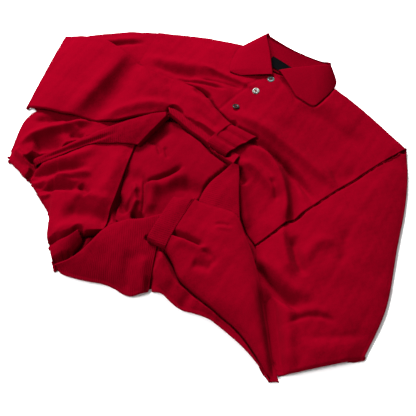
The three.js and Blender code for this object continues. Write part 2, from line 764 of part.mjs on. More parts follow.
function meshOf(name, geometry, colour, roughness = 0.95) {
  const material = new THREE.MeshStandardMaterial({ color: colour, roughness, metalness: 0 });
  const mesh = new THREE.Mesh(geometry, material);
  mesh.name = name;
  return mesh;
}

function geometryOf(solid) {
  const { triVerts, vertProperties } = solid.getMesh();
  const geometry = new THREE.BufferGeometry();
  geometry.setAttribute('position', new THREE.BufferAttribute(vertProperties, 3));
  geometry.setIndex(new THREE.BufferAttribute(triVerts, 1));
  return BufferGeometryUtils.mergeVertices(geometry, 1e-4);
}

const heap = new THREE.Group();
const walls = [];
const above = [];
for (const [name, piece, colour] of CLOTH_PIECES) {
  let solid = wall(piece);
  for (const free of above) solid = solid.subtract(free);
  solid = mainBody(solid);
  above.push(keepOut(piece));
  walls.push(solid);
  heap.add(meshOf(name, geometryOf(solid), colour));
}

const frontFace = outerFace(frontPanel);
const placketFace = patchOn(frontFace,
  (u, v) => onPlacket(u, 1 - 2 * v), [14, 5], PLACKET_LIFT + CLOTH);
heap.add(meshOf('placket', geometryOf(patchSolid(placketFace, CLOTH).subtract(keepOut(collar))), RIB_RED));

for (const [k, share] of BUTTON_PLACES.entries()) {
  const { x, y } = onPlacket(share, 0);
  const step = 4;
  const z = heightOn(placketFace, x, y);
  const slopeX = heightOn(placketFace, x + step, y) - heightOn(placketFace, x - step, y);
  const slopeY = heightOn(placketFace, x, y + step) - heightOn(placketFace, x, y - step);
  const normal = new THREE.Vector3(-slopeX, -slopeY, 2 * step).normalize();
  const button = meshOf(`button_${k + 1}`, geometryOf(buttonSolid()), 0x8d9a98, 0.35);
  button.quaternion.setFromUnitVectors(new THREE.Vector3(0, 0, 1), normal);
  button.position.set(x, y, z).addScaledVector(normal, 1.5 * SEAM_GAP);
  heap.add(button);
}

// The label lies on the stand below the middle of the back neck.
const LABEL_START = new THREE.Vector2(107, 284);
const LABEL_END = new THREE.Vector2(139, 260);
const labelAlong = LABEL_END.clone().sub(LABEL_START).setLength(LABEL_LENGTH);
const labelAcross = new THREE.Vector2(-labelAlong.y, labelAlong.x).setLength(LABEL_WIDTH);
const labelFace = patchOn(outerFace(collarStand),
  (u, v) => LABEL_START.clone().addScaledVector(labelAlong, u).addScaledVector(labelAcross, 1 - v),
  [4, 2], 2 * SEAM_GAP);
heap.add(meshOf('neck_label', geometryOf(patchSolid(labelFace, 1)), 0x14151a));

heap.add(meshOf('hidden_layers', geometryOf(hiddenLayers(walls)), DEEP_RED));

// The model's origin is the middle of its footprint, on the table.
const box = new THREE.Box3().setFromObject(heap);
const middle = box.getCenter(new THREE.Vector3());
heap.position.set(-middle.x, -middle.y, -box.min.z);

const part = new THREE.Group();
part.add(heap);
part.updateMatrixWorld(true);

export default part;
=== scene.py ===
"""A dropped knitted pullover with a shirt collar: fine cloth, ribs, seams, buttons and a studio.

Every cloth piece is a surface of two parameters. `s` runs through the piece's sections and `t` runs
across each section from side a to side b. Lengths in the tables are millimetres in the heap's own
plan, with the neck towards +Y and the wearer's left towards +X. The pieces follow the solids within
a few millimetres, apart from the end of the back panel's edge, which is 28 mm longer here.
"""

import math

import bpy
import numpy as np
from bpy.props import FloatProperty, FloatVectorProperty, PointerProperty
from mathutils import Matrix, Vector


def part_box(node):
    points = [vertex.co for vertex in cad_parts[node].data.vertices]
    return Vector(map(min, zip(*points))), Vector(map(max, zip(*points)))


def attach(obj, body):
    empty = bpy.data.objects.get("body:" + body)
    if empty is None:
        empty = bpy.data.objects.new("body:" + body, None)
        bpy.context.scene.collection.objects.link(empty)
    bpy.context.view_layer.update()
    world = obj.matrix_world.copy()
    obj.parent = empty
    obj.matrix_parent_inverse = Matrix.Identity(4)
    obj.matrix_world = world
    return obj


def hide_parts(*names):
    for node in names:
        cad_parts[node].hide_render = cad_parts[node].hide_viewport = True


bl_info = {
    "name": "Dropped polo sweater",
    "version": (1, 0, 0),
    "blender": (4, 5, 0),
    "location": "3D View > Sidebar > Sweater",
    "description": "Builds a knitted sweater that lies in a heap, round its solids",
    "category": "Add Mesh",
}

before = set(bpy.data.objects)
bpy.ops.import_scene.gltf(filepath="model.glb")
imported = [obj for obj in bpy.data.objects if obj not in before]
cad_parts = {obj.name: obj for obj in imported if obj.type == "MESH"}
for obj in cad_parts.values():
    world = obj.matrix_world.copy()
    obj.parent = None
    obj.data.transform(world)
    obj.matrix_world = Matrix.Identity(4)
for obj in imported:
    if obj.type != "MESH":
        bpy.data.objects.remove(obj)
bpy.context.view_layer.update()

MM = 0.001
LOWEST = 1.2  # lowest point of the top layer of cloth over the table
PLACKET_TOP = np.array([120.0, 255.0])
PLACKET_END = np.array([28.0, 172.0])
PLACKET_WIDTH = 32.0
LABEL_START = np.array([107.0, 284.0])
LABEL_ALONG = np.array([32.0, -24.0])
LABEL_ACROSS = np.array([7.2, 9.6])

SLACK_SEED = 5
SLACK_WAVES = (9, 120, 26)  # shortest and longest wave of loose cloth, and how many waves
CROWN_POWER = 0.8  # how full the arch of a section is; 1 is a parabola
RIB_STEP = 0.85  # distance between points across the ribs
SEAM_CLEAR = 14  # how far from a seam a piece stops pressing on what lies below it
SEAM_ROLL = (0.5, 0.3)  # how far a side turns under at a seam, out and down
SIDE_TURN = 150  # how far a side turns that rolls under, in degrees
FLOOR_TURN = 165  # the same for a side that rolls down to the table
FLOOR_DROP = 8  # how far such a side is taken to drop when its points are counted
ROLL_START = (-0.4, 0.9)  # least and greatest angle at which a side starts to turn, in radians
ROLL_WALK = 2.2  # length of a turned side over its reach, out and down together
ROLL_STEPS = 9  # fewest points round a turned side
ROLL_ROOM = 2  # least height of a face over LOWEST, so that its sides can turn under
PRESS_GAP = 0.4  # room left between a piece and what lies on it


def heap_shift():
    """Step from the heap's plan to the frame, from the label's lowest corner in both."""
    corners = [LABEL_START + u * LABEL_ALONG + v * LABEL_ACROSS for u in (0, 1) for v in (0, 1)]
    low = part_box("neck_label")[0]
    return np.append(np.array([low.x, low.y]) / MM - np.min(corners, axis=0), 0.0)


SHIFT = heap_shift()


# ---- from tables to surfaces ------------------------------------------------------------------

# Columns of a section: ax, ay, az, bx, by, bz, crown.
# Columns of a section given to spine(): x, y, heading, width, az, bz, crown.
# Columns of a fold: x0, y0, x1, y1, bow, half (its half width), height, lean.


def spine(rows):
    """Sections from the middle of each, its heading from side a to b in degrees, and its width."""
    table = np.array(rows, float)
    heading = np.radians(table[:, 2])
    half = np.stack([np.cos(heading), np.sin(heading)], -1) * table[:, 3:4] / 2
    return np.column_stack([
        table[:, :2] - half, table[:, 4], table[:, :2] + half, table[:, 5], table[:, 6]])


def through(rows, place):
    """Smooth values of every column at `place`, counted in rows.

    Formula: the Catmull-Rom cubic, which passes through each row and leaves it along the line
    between its two neighbours.
    """
    last = len(rows) - 1
    k = np.clip(np.floor(place).astype(int), 0, last - 1)
    u = (place - k)[:, None]
    a, b, c, d = (rows[np.clip(k + step, 0, last)] for step in (-1, 0, 1, 2))
    return b + 0.5 * u * (c - a + u * (2 * a - 5 * b + 4 * c - d + u * (3 * (b - c) + d - a)))


def ease(v):
    """Smooth step from 0 to 1."""
    v = np.clip(v, 0, 1)
    return v * v * (3 - 2 * v)


def fold_height(folds, x, y):
    """Height that the folds add at (x, y).

    Formula: each fold is a bell across an arc from (x0, y0) to (x1, y1) that bows sideways. One
    flank is longer by `lean`, and the fold fades over its first and last quarter.
    """
    total = np.zeros_like(x)
    for x0, y0, x1, y1, bow, half, height, lean in folds:
        dx, dy = x1 - x0, y1 - y0
        length = math.hypot(dx, dy)
        u = ((x - x0) * dx + (y - y0) * dy) / length ** 2
        v = ((y - y0) * dx - (x - x0) * dy) / length - bow * 4 * u * (1 - u)
        flank = half * np.where(v > 0, 1 + lean, 1 - lean)
        total += height * np.exp(-(v / flank) ** 2) * ease(4 * u) * ease(4 * (1 - u))
    return total


def slack(x, y, size):
    """Unevenness of cloth that lies loose.

    Formula: many shallow waves of unlike lengths and directions. A wave of 60 mm is half of `size`
    high, and the longer ones are higher.
    """
    draw = np.random.default_rng(SLACK_SEED)
    total = np.zeros_like(x)
    for length in np.geomspace(*SLACK_WAVES):
        turn, start = draw.uniform(0, 2 * math.pi, 2)
        way = (x * math.cos(turn) + y * math.sin(turn)) * 2 * math.pi / length
        total += (length / 60) ** 0.8 * np.sin(way + start)
    return size * total / 2


class Piece:
    """One cloth piece: its sections, folds, rolled sides, knit, and the size it was cut to.

    `cut` is its flat width and length in metres; nothing here reads it. `rolls` says how far each
    rolled side turns under, out and down. `spacing` is the distance between points, and `loose` the
    size of the slack.
    `ribs` and `wales` name the direction that they run in, `s` or `t`. `seams` are the sides where
    a neighbour takes over. A free piece isn't lowered to lie under what covers it.
    """

    def __init__(self, name, rows, cut, folds=(), rolls=None, slot="knit", spacing=2.2, loose=0.45,
                 ribs=None, wales="s", seams=(), free=False):
        self.name, self.slot, self.cut, self.loose = name, slot, cut, loose
        self.rows = np.array(rows, float)
        self.folds, self.rolls = folds, rolls or {}
        self.ribs, self.wales, self.seams, self.free = ribs, ribs or wales, seams, free
        self.step_s = RIB_STEP if ribs == "t" else spacing
        self.step_t = RIB_STEP if ribs == "s" else spacing

    def without_seams(self, face):
        """The face less a strip along its seams, where the neighbour meets it at its own height."""
        kept = []
        for count, step, sides in zip(
                face.shape, (self.step_s, self.step_t), (("first", "last"), ("a", "b"))):
            low, high = (int(SEAM_CLEAR / step) if side in self.seams else 0 for side in sides)
            kept.append(slice(low, count - high))
        return face[tuple(kept)]


def roll_offsets(point, inner, out, down, turn, steps):
    """Where the cloth goes past a side that turns under: sideways and downward shifts.

    Formula: part of an ellipse, `out` wide and `down` deep, entered at the angle at which the face
    arrives, so that no crease forms along the side.
    """
    outward = point[:, :2] - inner[:, :2]
    run = np.maximum(np.linalg.norm(outward, axis=1), 1e-6)
    outward /= run[:, None]
    slope = (point[:, 2] - inner[:, 2]) / run
    full = math.radians(turn)
    if down == "floor":
        depth = np.maximum(point[:, 2] - LOWEST, 1.0) / (1 - math.cos(full))
    else:
        depth = np.full(len(point), float(down))
    start = np.clip(np.arctan(-slope * out / depth), *ROLL_START)
    share = np.arange(1, steps + 1) / steps
    angle = start[:, None] + share[None, :] * (full - start[:, None])
    wide = out / (1 - np.sin(start))
    deep = depth * (1 - math.cos(full)) / (np.cos(start) - math.cos(full))
    side = wide[:, None] * (np.sin(angle) - np.sin(start)[:, None])
    drop = deep[:, None] * (np.cos(start)[:, None] - np.cos(angle))
    return outward[:, None, :] * side[:, :, None], drop


def rolled(face, piece, low_side, high_side, step):
    """The face with its two sides along the second direction turned under."""
    parts = [face]
    for side, edge, inner in ((low_side, 0, 1), (high_side, -1, -2)):
        if side not in piece.rolls:
            continue
        out, down = piece.rolls[side]
        turn, deep = (FLOOR_TURN, FLOOR_DROP) if down == "floor" else (SIDE_TURN, down)
        steps = max(ROLL_STEPS, int(ROLL_WALK * (out + deep) / step))
        shift, drop = roll_offsets(face[:, edge], face[:, inner], out, down, turn, steps)
        extra = np.repeat(face[:, edge][:, None, :], steps, axis=1)
        extra[..., :2] += shift
        extra[..., 2] -= drop
        parts = [extra[:, ::-1]] + parts if edge == 0 else parts + [extra]
    return np.concatenate(parts, axis=1)


def cloth_face(piece):
    """Outer face of a piece as a grid of points.

    Formula: plan and height go straight from side a to side b of a section, the crown adds an arch
    of (4 t (1 - t)) to the power 0.8, and the folds and the slack are laid on top. Past the sides
    the face rolls under.
    """
    rows = piece.rows
    middle = (rows[:, :2] + rows[:, 3:5]) / 2
    long_side = max(np.linalg.norm(np.diff(side, axis=0), axis=1).sum()
                    for side in (rows[:, :2], rows[:, 3:5], middle))
    wide_side = np.linalg.norm(rows[:, :2] - rows[:, 3:5], axis=1).max()
    n = max(int(long_side / piece.step_s), 6)
    m = max(int(wide_side / piece.step_t), 6)
    values = through(rows, np.linspace(0, len(rows) - 1, n + 1))
    a, b, crown = values[:, None, 0:3], values[:, None, 3:6], values[:, 6:7]
    t = np.linspace(0, 1, m + 1)[None, :]
    face = a * (1 - t[..., None]) + b * t[..., None]
    x, y = face[..., 0], face[..., 1]
    face[..., 2] += crown * (4 * t * (1 - t)) ** CROWN_POWER
    face[..., 2] += fold_height(piece.folds, x, y) + slack(x, y, piece.loose)
    face[..., 2] = np.maximum(face[..., 2], LOWEST + ROLL_ROOM)
    face = rolled(face, piece, "a", "b", piece.step_t)
    face = rolled(face.transpose(1, 0, 2), piece, "first", "last", piece.step_s).transpose(1, 0, 2)
    face[..., 2] = np.maximum(face[..., 2], LOWEST)
    return face


def walked(face, axis):
    """Distance walked over the face along one of its directions, from its middle line."""
    steps = np.linalg.norm(np.diff(face, axis=axis), axis=2)
    total = np.concatenate([np.zeros_like(np.take(steps, [0], axis)), np.cumsum(steps, axis)], axis)
    return total - np.take(total, [total.shape[axis] // 2], axis)


def normals_of(face):
    """Unit normals of a grid, pointing up on the whole."""
    normal = np.cross(np.gradient(face, axis=0), np.gradient(face, axis=1))
    normal /= np.maximum(np.linalg.norm(normal, axis=2, keepdims=True), 1e-9)
    return normal if normal[..., 2].sum() > 0 else -normal


class Raster:
    """Highest value over each cell of the heap's plan."""

    CELL = 3.0  # side of a cell
    REACH = 470.0  # how far the cells go from the middle of the plan, each way

    def __init__(self):
        count = int(2 * self.REACH / self.CELL)
        self.high = np.full((count, count), -np.inf)

    def cells(self, x, y):
        """Row and column of the cell of each point."""
        return tuple(np.clip(((v + self.REACH) / self.CELL).astype(int), 0, len(self.high) - 1)
                     for v in (y, x))

    def add(self, x, y, value):
        row, column = self.cells(x, y)
        np.maximum.at(self.high, (row.ravel(), column.ravel()), value.ravel())

    def covered(self, x, y):
        return np.isfinite(self.high[self.cells(x, y)])

    def spread(self, steps, fall):
        """The cells carried outwards, losing `fall` at each step after the first."""
        grid = self.high.copy()
        for step in range(steps):
            loss = fall if step else 0.0
            for axis in (0, 1):
                for shift in (1, -1):
                    grid = np.maximum(grid, np.roll(grid, shift, axis) - loss)
        return grid

    def sample(self, grid, x, y):
        """Formula: the four nearest cell middles, weighted by closeness."""
        u, v = (x + self.REACH) / self.CELL - 0.5, (y + self.REACH) / self.CELL - 0.5
        i, j = np.floor(v).astype(int), np.floor(u).astype(int)
        fv, fu = v - i, u - j
        return ((grid[i, j] * (1 - fu) + grid[i, j + 1] * fu) * (1 - fv)
                + (grid[i + 1, j] * (1 - fu) + grid[i + 1, j + 1] * fu) * fv)


def blurred(grid, times):
    """The grid with each cell averaged with its four neighbours, a few times over."""
    for _ in range(times):
        sides = sum(np.roll(grid, shift, axis) for axis in (0, 1) for shift in (1, -1))
        grid = (2 * grid + sides) / 6
    return grid


class Cover:
    """How high cloth may rise under the pieces that already lie above it."""

    RISE = 7.0  # how fast pressed cloth rises again from cell to cell beside what lies on it
    SPREAD = 9  # over how many cells
    OPEN = 120.0  # the limit where nothing lies above

    def __init__(self):
        self.under = Raster()
        self.eased = None

    def add(self, face, cloth, piece):
        """Takes in the underside of a piece."""
        low = piece.without_seams(face - normals_of(face) * cloth)
        self.under.add(low[..., 0], low[..., 1], -low[..., 2])
        self.eased = None

    def limit(self, x, y):
        """Formula: the lowest underside over each cell, carried outwards with a steady slope."""
        if self.eased is None:
            spread = self.under.spread(self.SPREAD, self.RISE)
            self.eased = blurred(np.maximum(spread, -self.OPEN), 1)
        return -self.under.sample(self.eased, x, y)

    def press(self, face, gap):
        """The face with its points lowered to lie under what covers them."""
        limit = self.limit(face[..., 0], face[..., 1]) - gap
        face[..., 2] = np.maximum(np.minimum(face[..., 2], limit), LOWEST)
        return face


class Relief:
    """The height of a face over its plan, for what lies on it."""

    SPREAD = 3  # how many cells past its outline the height goes on
    FALL = 0.4  # how much lower each of them is
    SOFTEN = 2  # how many times the heights are blurred

    def __init__(self, face):
        self.raster = Raster()
        self.raster.add(face[..., 0], face[..., 1], face[..., 2])
        grid = self.raster.spread(self.SPREAD, self.FALL)
        self.grid = blurred(np.maximum(grid, LOWEST), self.SOFTEN)

    def at(self, x, y):
        return self.raster.sample(self.grid, x, y)


def grid_quads(index):
    """The quads of a grid, from the numbers of its points."""
    quads = np.stack([index[:-1, :-1], index[1:, :-1], index[1:, 1:], index[:-1, 1:]], -1)
    return quads.reshape(-1, 4)


def smooth_mesh(name, points, faces):
    """A mesh with smooth shading, from points in the heap's plan."""
    mesh = bpy.data.meshes.new(name)
    mesh.from_pydata((points + SHIFT) * MM, [], faces)
    mesh.polygons.foreach_set("use_smooth", np.ones(len(faces), bool))
    mesh.update()
    return mesh


def lay_uv(mesh, points, corners):
    """Gives a mesh its cloth UV in metres: one pair for each point, read at each corner."""
    mesh.uv_layers.new(name="cloth").data.foreach_set("uv", (points[corners] * MM).ravel())


def grid_mesh(name, face, wale, course):
    """A mesh over a grid of points, facing up, with distances along and across the wales as UV."""
    quads = grid_quads(np.arange(wale.size).reshape(wale.shape))
    raw = np.cross(np.gradient(face, axis=0), np.gradient(face, axis=1))
    if raw[..., 2].sum() < 0:
        quads = quads[:, ::-1]
    mesh = smooth_mesh(name, face.reshape(-1, 3), quads)
    lay_uv(mesh, np.stack([course.ravel(), wale.ravel()], -1), quads.ravel())
    return mesh


def as_object(mesh, slot, node=None, material=None):
    """A finished piece: linked, riding on the one body, and standing for its solid, if any."""
    piece = bpy.data.objects.new(mesh.name, mesh)
    bpy.context.collection.objects.link(piece)
    mesh.materials.append(material or material_for(slot))
    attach(piece, "root")
    if node:
        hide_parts(node)
    return piece


def thicken(piece, thickness):
    """Gives a sheet its thickness, inwards from its outer face."""
    shell = piece.modifiers.new("cloth", "SOLIDIFY")
    shell.thickness = thickness * MM
    shell.offset = -1
    shell.use_rim = True


def settings():
    return bpy.context.scene.sweater_knit


# ---- the pieces -------------------------------------------------------------------------------

# Front of the body, from the shoulder line down to the bunched waist; the last section is the
# armhole of the left sleeve.
FRONT = Piece(
    "front_panel",
    rows=[
        [-92, 373, 13, -150, 240, 14, 4],
        [-15, 360, 15, -78, 215, 18, 6],
        [55, 336, 26, -10, 172, 26, 6],
        [112, 300, 38, 28, 120, 28, 4],
        [168, 264, 42, 46, 60, 24, 4],
        [216, 232, 32, 50, 0, 16, 4],
        [272, 182, 20, 60, -38, 12, 6],
        [328, 118, 11, 74, -62, 13, 10],
    ],
    folds=[
        [-120, 315, 20, 272, 0, 12, 6, 0],  # yoke, above the folded sleeve
        [-104, 296, 30, 246, -2, 8, -5, 0.3],  # hollow beside it
        [-60, 262, 36, 224, 3, 3, -5, 0],  # thin creases along the folded sleeve
        [-20, 262, 60, 226, 4, 3, -4, 0],
        [-70, 282, 75, 226, 8, 13, -4, 0],  # hollow beside the placket
        [-40, 262, 45, 208, 10, 12, 5, 0],  # roll along the folded sleeve
        [-12, 288, 84, 224, 0, 6, 6, 0.3],  # ridge that hides the tip of the collar
        [132, 290, -10, 162, 0, 3, -1.5, 0],  # groove beside the free edge of the placket
        [116, 270, 156, 194, 0, 4, -5, 0],  # slit beside the collar's front edge
        [24, 190, 218, 26, 10, 12, 10, 0.2],  # chest fold, over the bunched waist
        [42, 142, 176, 0, 20, 7, -11, -0.2],  # hollow under the chest fold
        [66, 132, 114, -52, 31, 10, 13, -0.3],  # side fold
        [127, 92, 134, -42, 8, 8, -9, 0],  # hollow outside it
        [44, 88, 112, 12, 14, 9, 9, 0],  # short fold below the cuff
        [45, 74, 60, 40, 0, 7, -12, 0],  # pocket below the cuff
        [102, 54, 112, 10, 2, 5, -5, 0],  # crease at the end of the short fold
        [42, 60, 60, -40, 4, 10, 6, 0],  # roll along the hem
        [124, 240, 262, 136, 6, 18, 6, 0],  # fold from the collar to the shoulder
        [160, 196, 262, 108, 4, 12, -3, 0],  # slack between the folds
        [196, 60, 250, 66, -6, 14, -4, 0],  # slack at the armhole
    ],
    rolls={"a": (8, "floor"), "last": SEAM_ROLL}, seams=("first", "last"),
    cut=(0.28, 0.47), wales="t",
)

# Right sleeve: the upper arm lies under the forearm, which is folded back over the chest.
RIGHT_UPPER = Piece(
    "sleeve_right_upper_arm",
    rows=[
        [-236, 364, 9, -240, 310, 9, 0],
        [-205, 369, 12, -215, 296, 10, 2],
        [-150, 374, 14, -160, 280, 12, 4],
        [-92, 373, 12, -150, 240, 14, 4],
    ],
    folds=[
        [-215, 338, -110, 348, 4, 5, -5, 0],
        [-215, 350, -110, 357, 2, 8, 4, 0],
    ],
    rolls={"a": (7, "floor"), "last": SEAM_ROLL}, seams=("last",),
    cut=(0.10, 0.15),
)

RIGHT_FORE = Piece(
    "sleeve_right_forearm",
    rows=spine([
        [-286, 291, -108, 168, 10, 12, 2],
        [-250, 280, -105, 168, 20, 22, 5],
        [-200, 260, -105, 160, 34, 24, 4],
        [-150, 235, -105, 130, 32, 25, 2],
        [-105, 225, -100, 90, 30, 30, 2],
        [-55, 215, -100, 65, 32, 31, 3],
        [-20, 190, -110, 65, 34, 31, 5],
        [0, 160, -115, 55, 36, 33, 5],
        [20, 135, -135, 50, 37, 34, 5],
    ]),
    folds=[
        [-245, 172, -140, 324, -8, 15, 9, 0.3],  # elbow ridge
        [-226, 138, -112, 318, -6, 18, -8, 0],  # hollow beyond the elbow
        [-190, 172, -40, 190, 16, 10, 7, 0],  # roll at the near side
        [-130, 290, -90, 210, 0, 12, 4, 0],
        [-75, 258, -62, 190, 4, 9, -3, 0],
        [-26, 232, 4, 208, 0, 4, -5, 0],  # pulled folds towards the cuff
        [-35, 222, 25, 150, 6, 7, 4, 0],
        [-25, 190, 20, 138, -2, 6, -4, 0],
    ],
    rolls={"a": (4, 8), "b": (2, 3.5), "first": (4, "floor"), "last": SEAM_ROLL},
    cut=(0.16, 0.38),
)

RIGHT_CUFF = Piece(
    "cuff_right",
    rows=[
        [35, 155, 36, 0, 120, 34, 5],
        [58, 139, 38, 17, 106, 35, 5],
        [79, 126, 39, 32, 96, 36, 4],
    ],
    folds=[
        [14, 151, 110, 84, 0, 5, -3, 0],  # two channels down to the mouth
        [4, 133, 96, 68, 0, 4, -3, 0],
    ],
    rolls={"a": (3, 7), "b": (3, 7)}, seams=("first",),
    cut=(0.085, 0.045), slot="rib", ribs="s",
)

# Left sleeve: the upper arm lies flat, folded at the elbow, with the forearm back on top of it.
LEFT_UPPER = Piece(
    "sleeve_left_upper_arm",
    rows=spine([
        [202, 25, 35, 310, 13, 11, 10],
        [200, -25, 35, 305, 10, 10, 16],
        [195, -80, 35, 289, 8, 10, 16],
        [190, -140, 35, 251, 7, 10, 14],
        [176, -210, 25, 194, 7, 9, 10],
        [161.5, -254, 11, 129, 8, 7, 5],
    ]),
    folds=[
        [116, -28, 128, -125, -4, 10, 9, -0.2],  # underarm ridge
        [134, -48, 149, -124, -4, 7, -9, 0],  # underarm hollow
        [146, -108, 206, -60, 18, 12, 5, 0],  # ridge that curls round the hollow
        [58, -84, 142, -182, -3, 7, -15, 0.2],  # crease to the elbow
        [72, -76, 158, -164, -3, 10, 7, 0],
        [94, -122, 103, -300, 0, 10, -14, 0],  # gap beside the forearm
        [114, -150, 116, -268, 3, 11, 6, 0],
        [108, -186, 190, -184, 10, 8, 3, 0],  # wrinkles inside the elbow
        [112, -200, 196, -198, 14, 5, -3, 0],
        [132, -217, 242, -209, -4, 7, -2, 0],
        [218, -40, 200, -104, 4, 9, -3, 0],
        [130, -234, 232, -226, -6, 16, 4, 0],
    ],
    rolls={"b": (7, "floor"), "last": (7, "floor"), "first": SEAM_ROLL},
    cut=(0.28, 0.29),
)

LEFT_FORE = Piece(
    "sleeve_left_forearm",
    rows=spine([
        [96, -278, 0, 6, 9, 10, 1],
        [82, -242, 0, 17, 15, 20, 4],
        [67, -202, 8, 38, 17, 25, 8],
        [45, -160, 17, 70, 20, 28, 11],
        [25, -120, 30, 98, 20, 32, 13],
        [8, -92, 32, 115, 25, 34, 12],
        [-5, -60, 40, 120, 26, 37, 10],
        [-30, -45, 50, 95, 30, 41, 7],
        [-45, -35, 60, 85, 34, 43, 4],
    ]),
    folds=[
        [-66, -51, -4, -81, 2, 3.5, -11, 0.4],  # crease that runs in from the cuff
        [-55, -66, 2, -95, 4, 8, 5, 0],  # fold beside it
        [-12, -84, 10, -114, 6, 5, -5, 0],  # short crease
        [-26, -104, 8, -115, 0, 8, -6, 0],  # dent beside it
        [8, -43, 38, -45, 2, 3.5, -2.5, 0],  # ripples
        [8, -51, 38, -53, 2, 3.5, 2, 0],
        [-20, -20, 70, -230, 30, 24, 4, 0],  # roll along the sleeve
        [42, -202, 54, -224, 0, 4, -5, 0],
        [80, -130, 101, -300, 0, 8, -15, 0],  # side that falls into the gap
    ],
    rolls={"a": (4, 8), "b": (3, 3), "first": (3, "floor"), "last": SEAM_ROLL},
    cut=(0.13, 0.30),
)

LEFT_CUFF = Piece(
    "cuff_left",
    rows=[
        [-65, -76, 34, -25, 3, 43, 4],
        [-79, -69, 37, -40, 4, 44, 4],
        [-93, -60, 39, -55, 6, 43, 3],
    ],
    rolls={"a": (3, 7), "b": (3, 7)}, seams=("first",),
    cut=(0.11, 0.035), slot="rib", ribs="s",
)

# Hem of the front: a strip along the near side of the right forearm, and its end by the cuff.
HEM_FRONT = Piece(
    "hem_rib_front",
    rows=[
        [-67, 200, 28, -65, 173, 44, 1],
        [-34, 176, 27, -32, 147, 34, 1],
        [-6, 152, 27, -8, 127, 32, 1],
        [24, 120, 28, 19, 97, 32, 1],
        [52, 94, 32, 42, 75, 38, 1],
    ],
    rolls={"b": (3, 6)}, seams=("a", "last"),
    cut=(0.042, 0.15), slot="rib", ribs="t",
)

HEM_FLAP = Piece(
    "hem_rib_side",
    rows=[
        [41, 73, 39, 50, 71, 37, 0],
        [22, 55, 37, 51, 50, 36, 2],
        [3, 37, 34, 50, 18, 36, 4],
        [-9, 16, 33, 50, -10, 34, 3],
        [-16, -6, 33, 50, -34, 33, 0],
    ],
    rolls={"a": (4, 12)},
    cut=(0.065, 0.10), slot="rib", ribs="t",
)

# Left side of the heap: the side of the body, with the far part of the rib hem on it.
SIDE_FAR = Piece(
    "body_side_far",
    rows=spine([
        [-331, 112, -90, 20, 8, 8, 0],
        [-316, 132, -90, 92, 8, 10, 3],
        [-290, 136, -95, 134, 8, 14, 5],
        [-245, 146, -95, 104, 9, 20, 2],
        [-190, 155, -105, 60, 14, 20, 0],
        [-135, 165, -105, 25, 15, 20, 0],
    ]),
    folds=[
        [-326, 126, -188, 173, 9, 8, 12, 0.2],  # ridge below the sleeve
        [-306, 178, -215, 184, 0, 7, -7, 0],
        [-272, 178, -240, 172, 0, 4, 4, 0],  # small crease in its shade
        [-296, 120, -240, 124, 0, 17, -12, 0],  # round hollow
        [-326, 124, -286, 88, -6, 6, 9, 0],  # rim of the hollow
        [-236, 146, -208, 138, 0, 6, -7, 0],  # dent
        [-250, 158, -214, 156, 2, 5, 4, 0],
    ],
    rolls={"a": (6, "floor"), "first": (5, "floor"), "b": (6, "floor")},
    cut=(0.12, 0.21),
)

HEM_FAR = Piece(
    "hem_rib_far",
    rows=spine([
        [-285, 92, -70, 11, 15, 13, 1],
        [-252, 104, -70, 12, 24, 21, 2],
        [-201, 126, -80, 15, 30, 26, 3],
        [-156, 138, -105, 34, 36, 27, 3],
        [-120, 145, -125, 60, 40, 28, 3],
        [-90, 147, -134, 80, 42, 28, 2],
    ]),
    folds=[
        [-284, 92, -150, 140, 0, 3, -3, 0],  # line between the two ridges
    ],
    rolls={"a": (4, 12), "first": (5, 9), "last": (3, 8)}, seams=("b",),
    cut=(0.05, 0.26), slot="rib", ribs="t",
)

SIDE_LOW = Piece(
    "body_side_low",
    rows=spine([
        [-285, 74, -115, 30, 10, 9, 0],
        [-269, 62, -100, 64, 18, 10, 2],
        [-252, 54, -95, 112, 22, 10, 4],
        [-246, 33, -95, 168, 23, 15, 4],
        [-215, 38, -100, 186, 23, 26, 2],
        [-187, 42, -105, 190, 24, 30, -2],
        [-162, 44, -105, 182, 24, 29, 0],
        [-144, 44, -105, 168, 22, 25, 0],
    ]),
    folds=[
        [-304, 82, -180, 112, -6, 9, 6, 0],  # lit roll below the hem
        [-306, 58, -190, 78, 4, 7, -8, 0],  # long hollow
        [-274, 47, -183, 65, 2, 7, 8, 0],
        [-252, 60, -215, 52, 0, 3, 3, 0],  # short creases across it
        [-246, 52, -206, 44, 0, 3, 3, 0],
        [-292, 42, -205, 32, 2, 5, -9, 0],
        [-209, 40, -191, 20, 0, 6, -9, 0],  # dent
        [-224, 22, -148, 5, 6, 9, 6, 0],
        [-238, -6, -146, -28, 4, 16, -14, 0],  # broad hollow above the loop
        [-148, 108, -174, 20, 6, 12, 4, 0],
        [-250, -50, -180, -38, 8, 10, 5, 0],
        [-302, 62, -264, 66, 0, 3.5, 2.5, 0],  # crumples at the edge
        [-298, 50, -262, 54, 0, 3.5, 3, 0],
        [-290, 38, -256, 44, 0, 3, 5, 0],
        [-284, 24, -252, 28, 0, 3, 4, 0],
    ],
    rolls={"b": (4, 12), "first": (4, "floor"), "last": (1, 2)},
    cut=(0.16, 0.19), wales="t",
)

HEM_LOOP = Piece(
    "hem_rib_loop",
    rows=spine([
        [-242, -82, -75, 34, 16, 8, 2],
        [-230, -76, -80, 31, 25, 12, 3],
        [-214, -66, -85, 22, 30, 16, 2],
        [-200, -52, -65, 12, 32, 22, 1],
    ]),
    rolls={"a": (3, 7), "b": (3, 8), "first": (3, "floor")},
    cut=(0.055, 0.085), slot="rib", ribs="t",
)

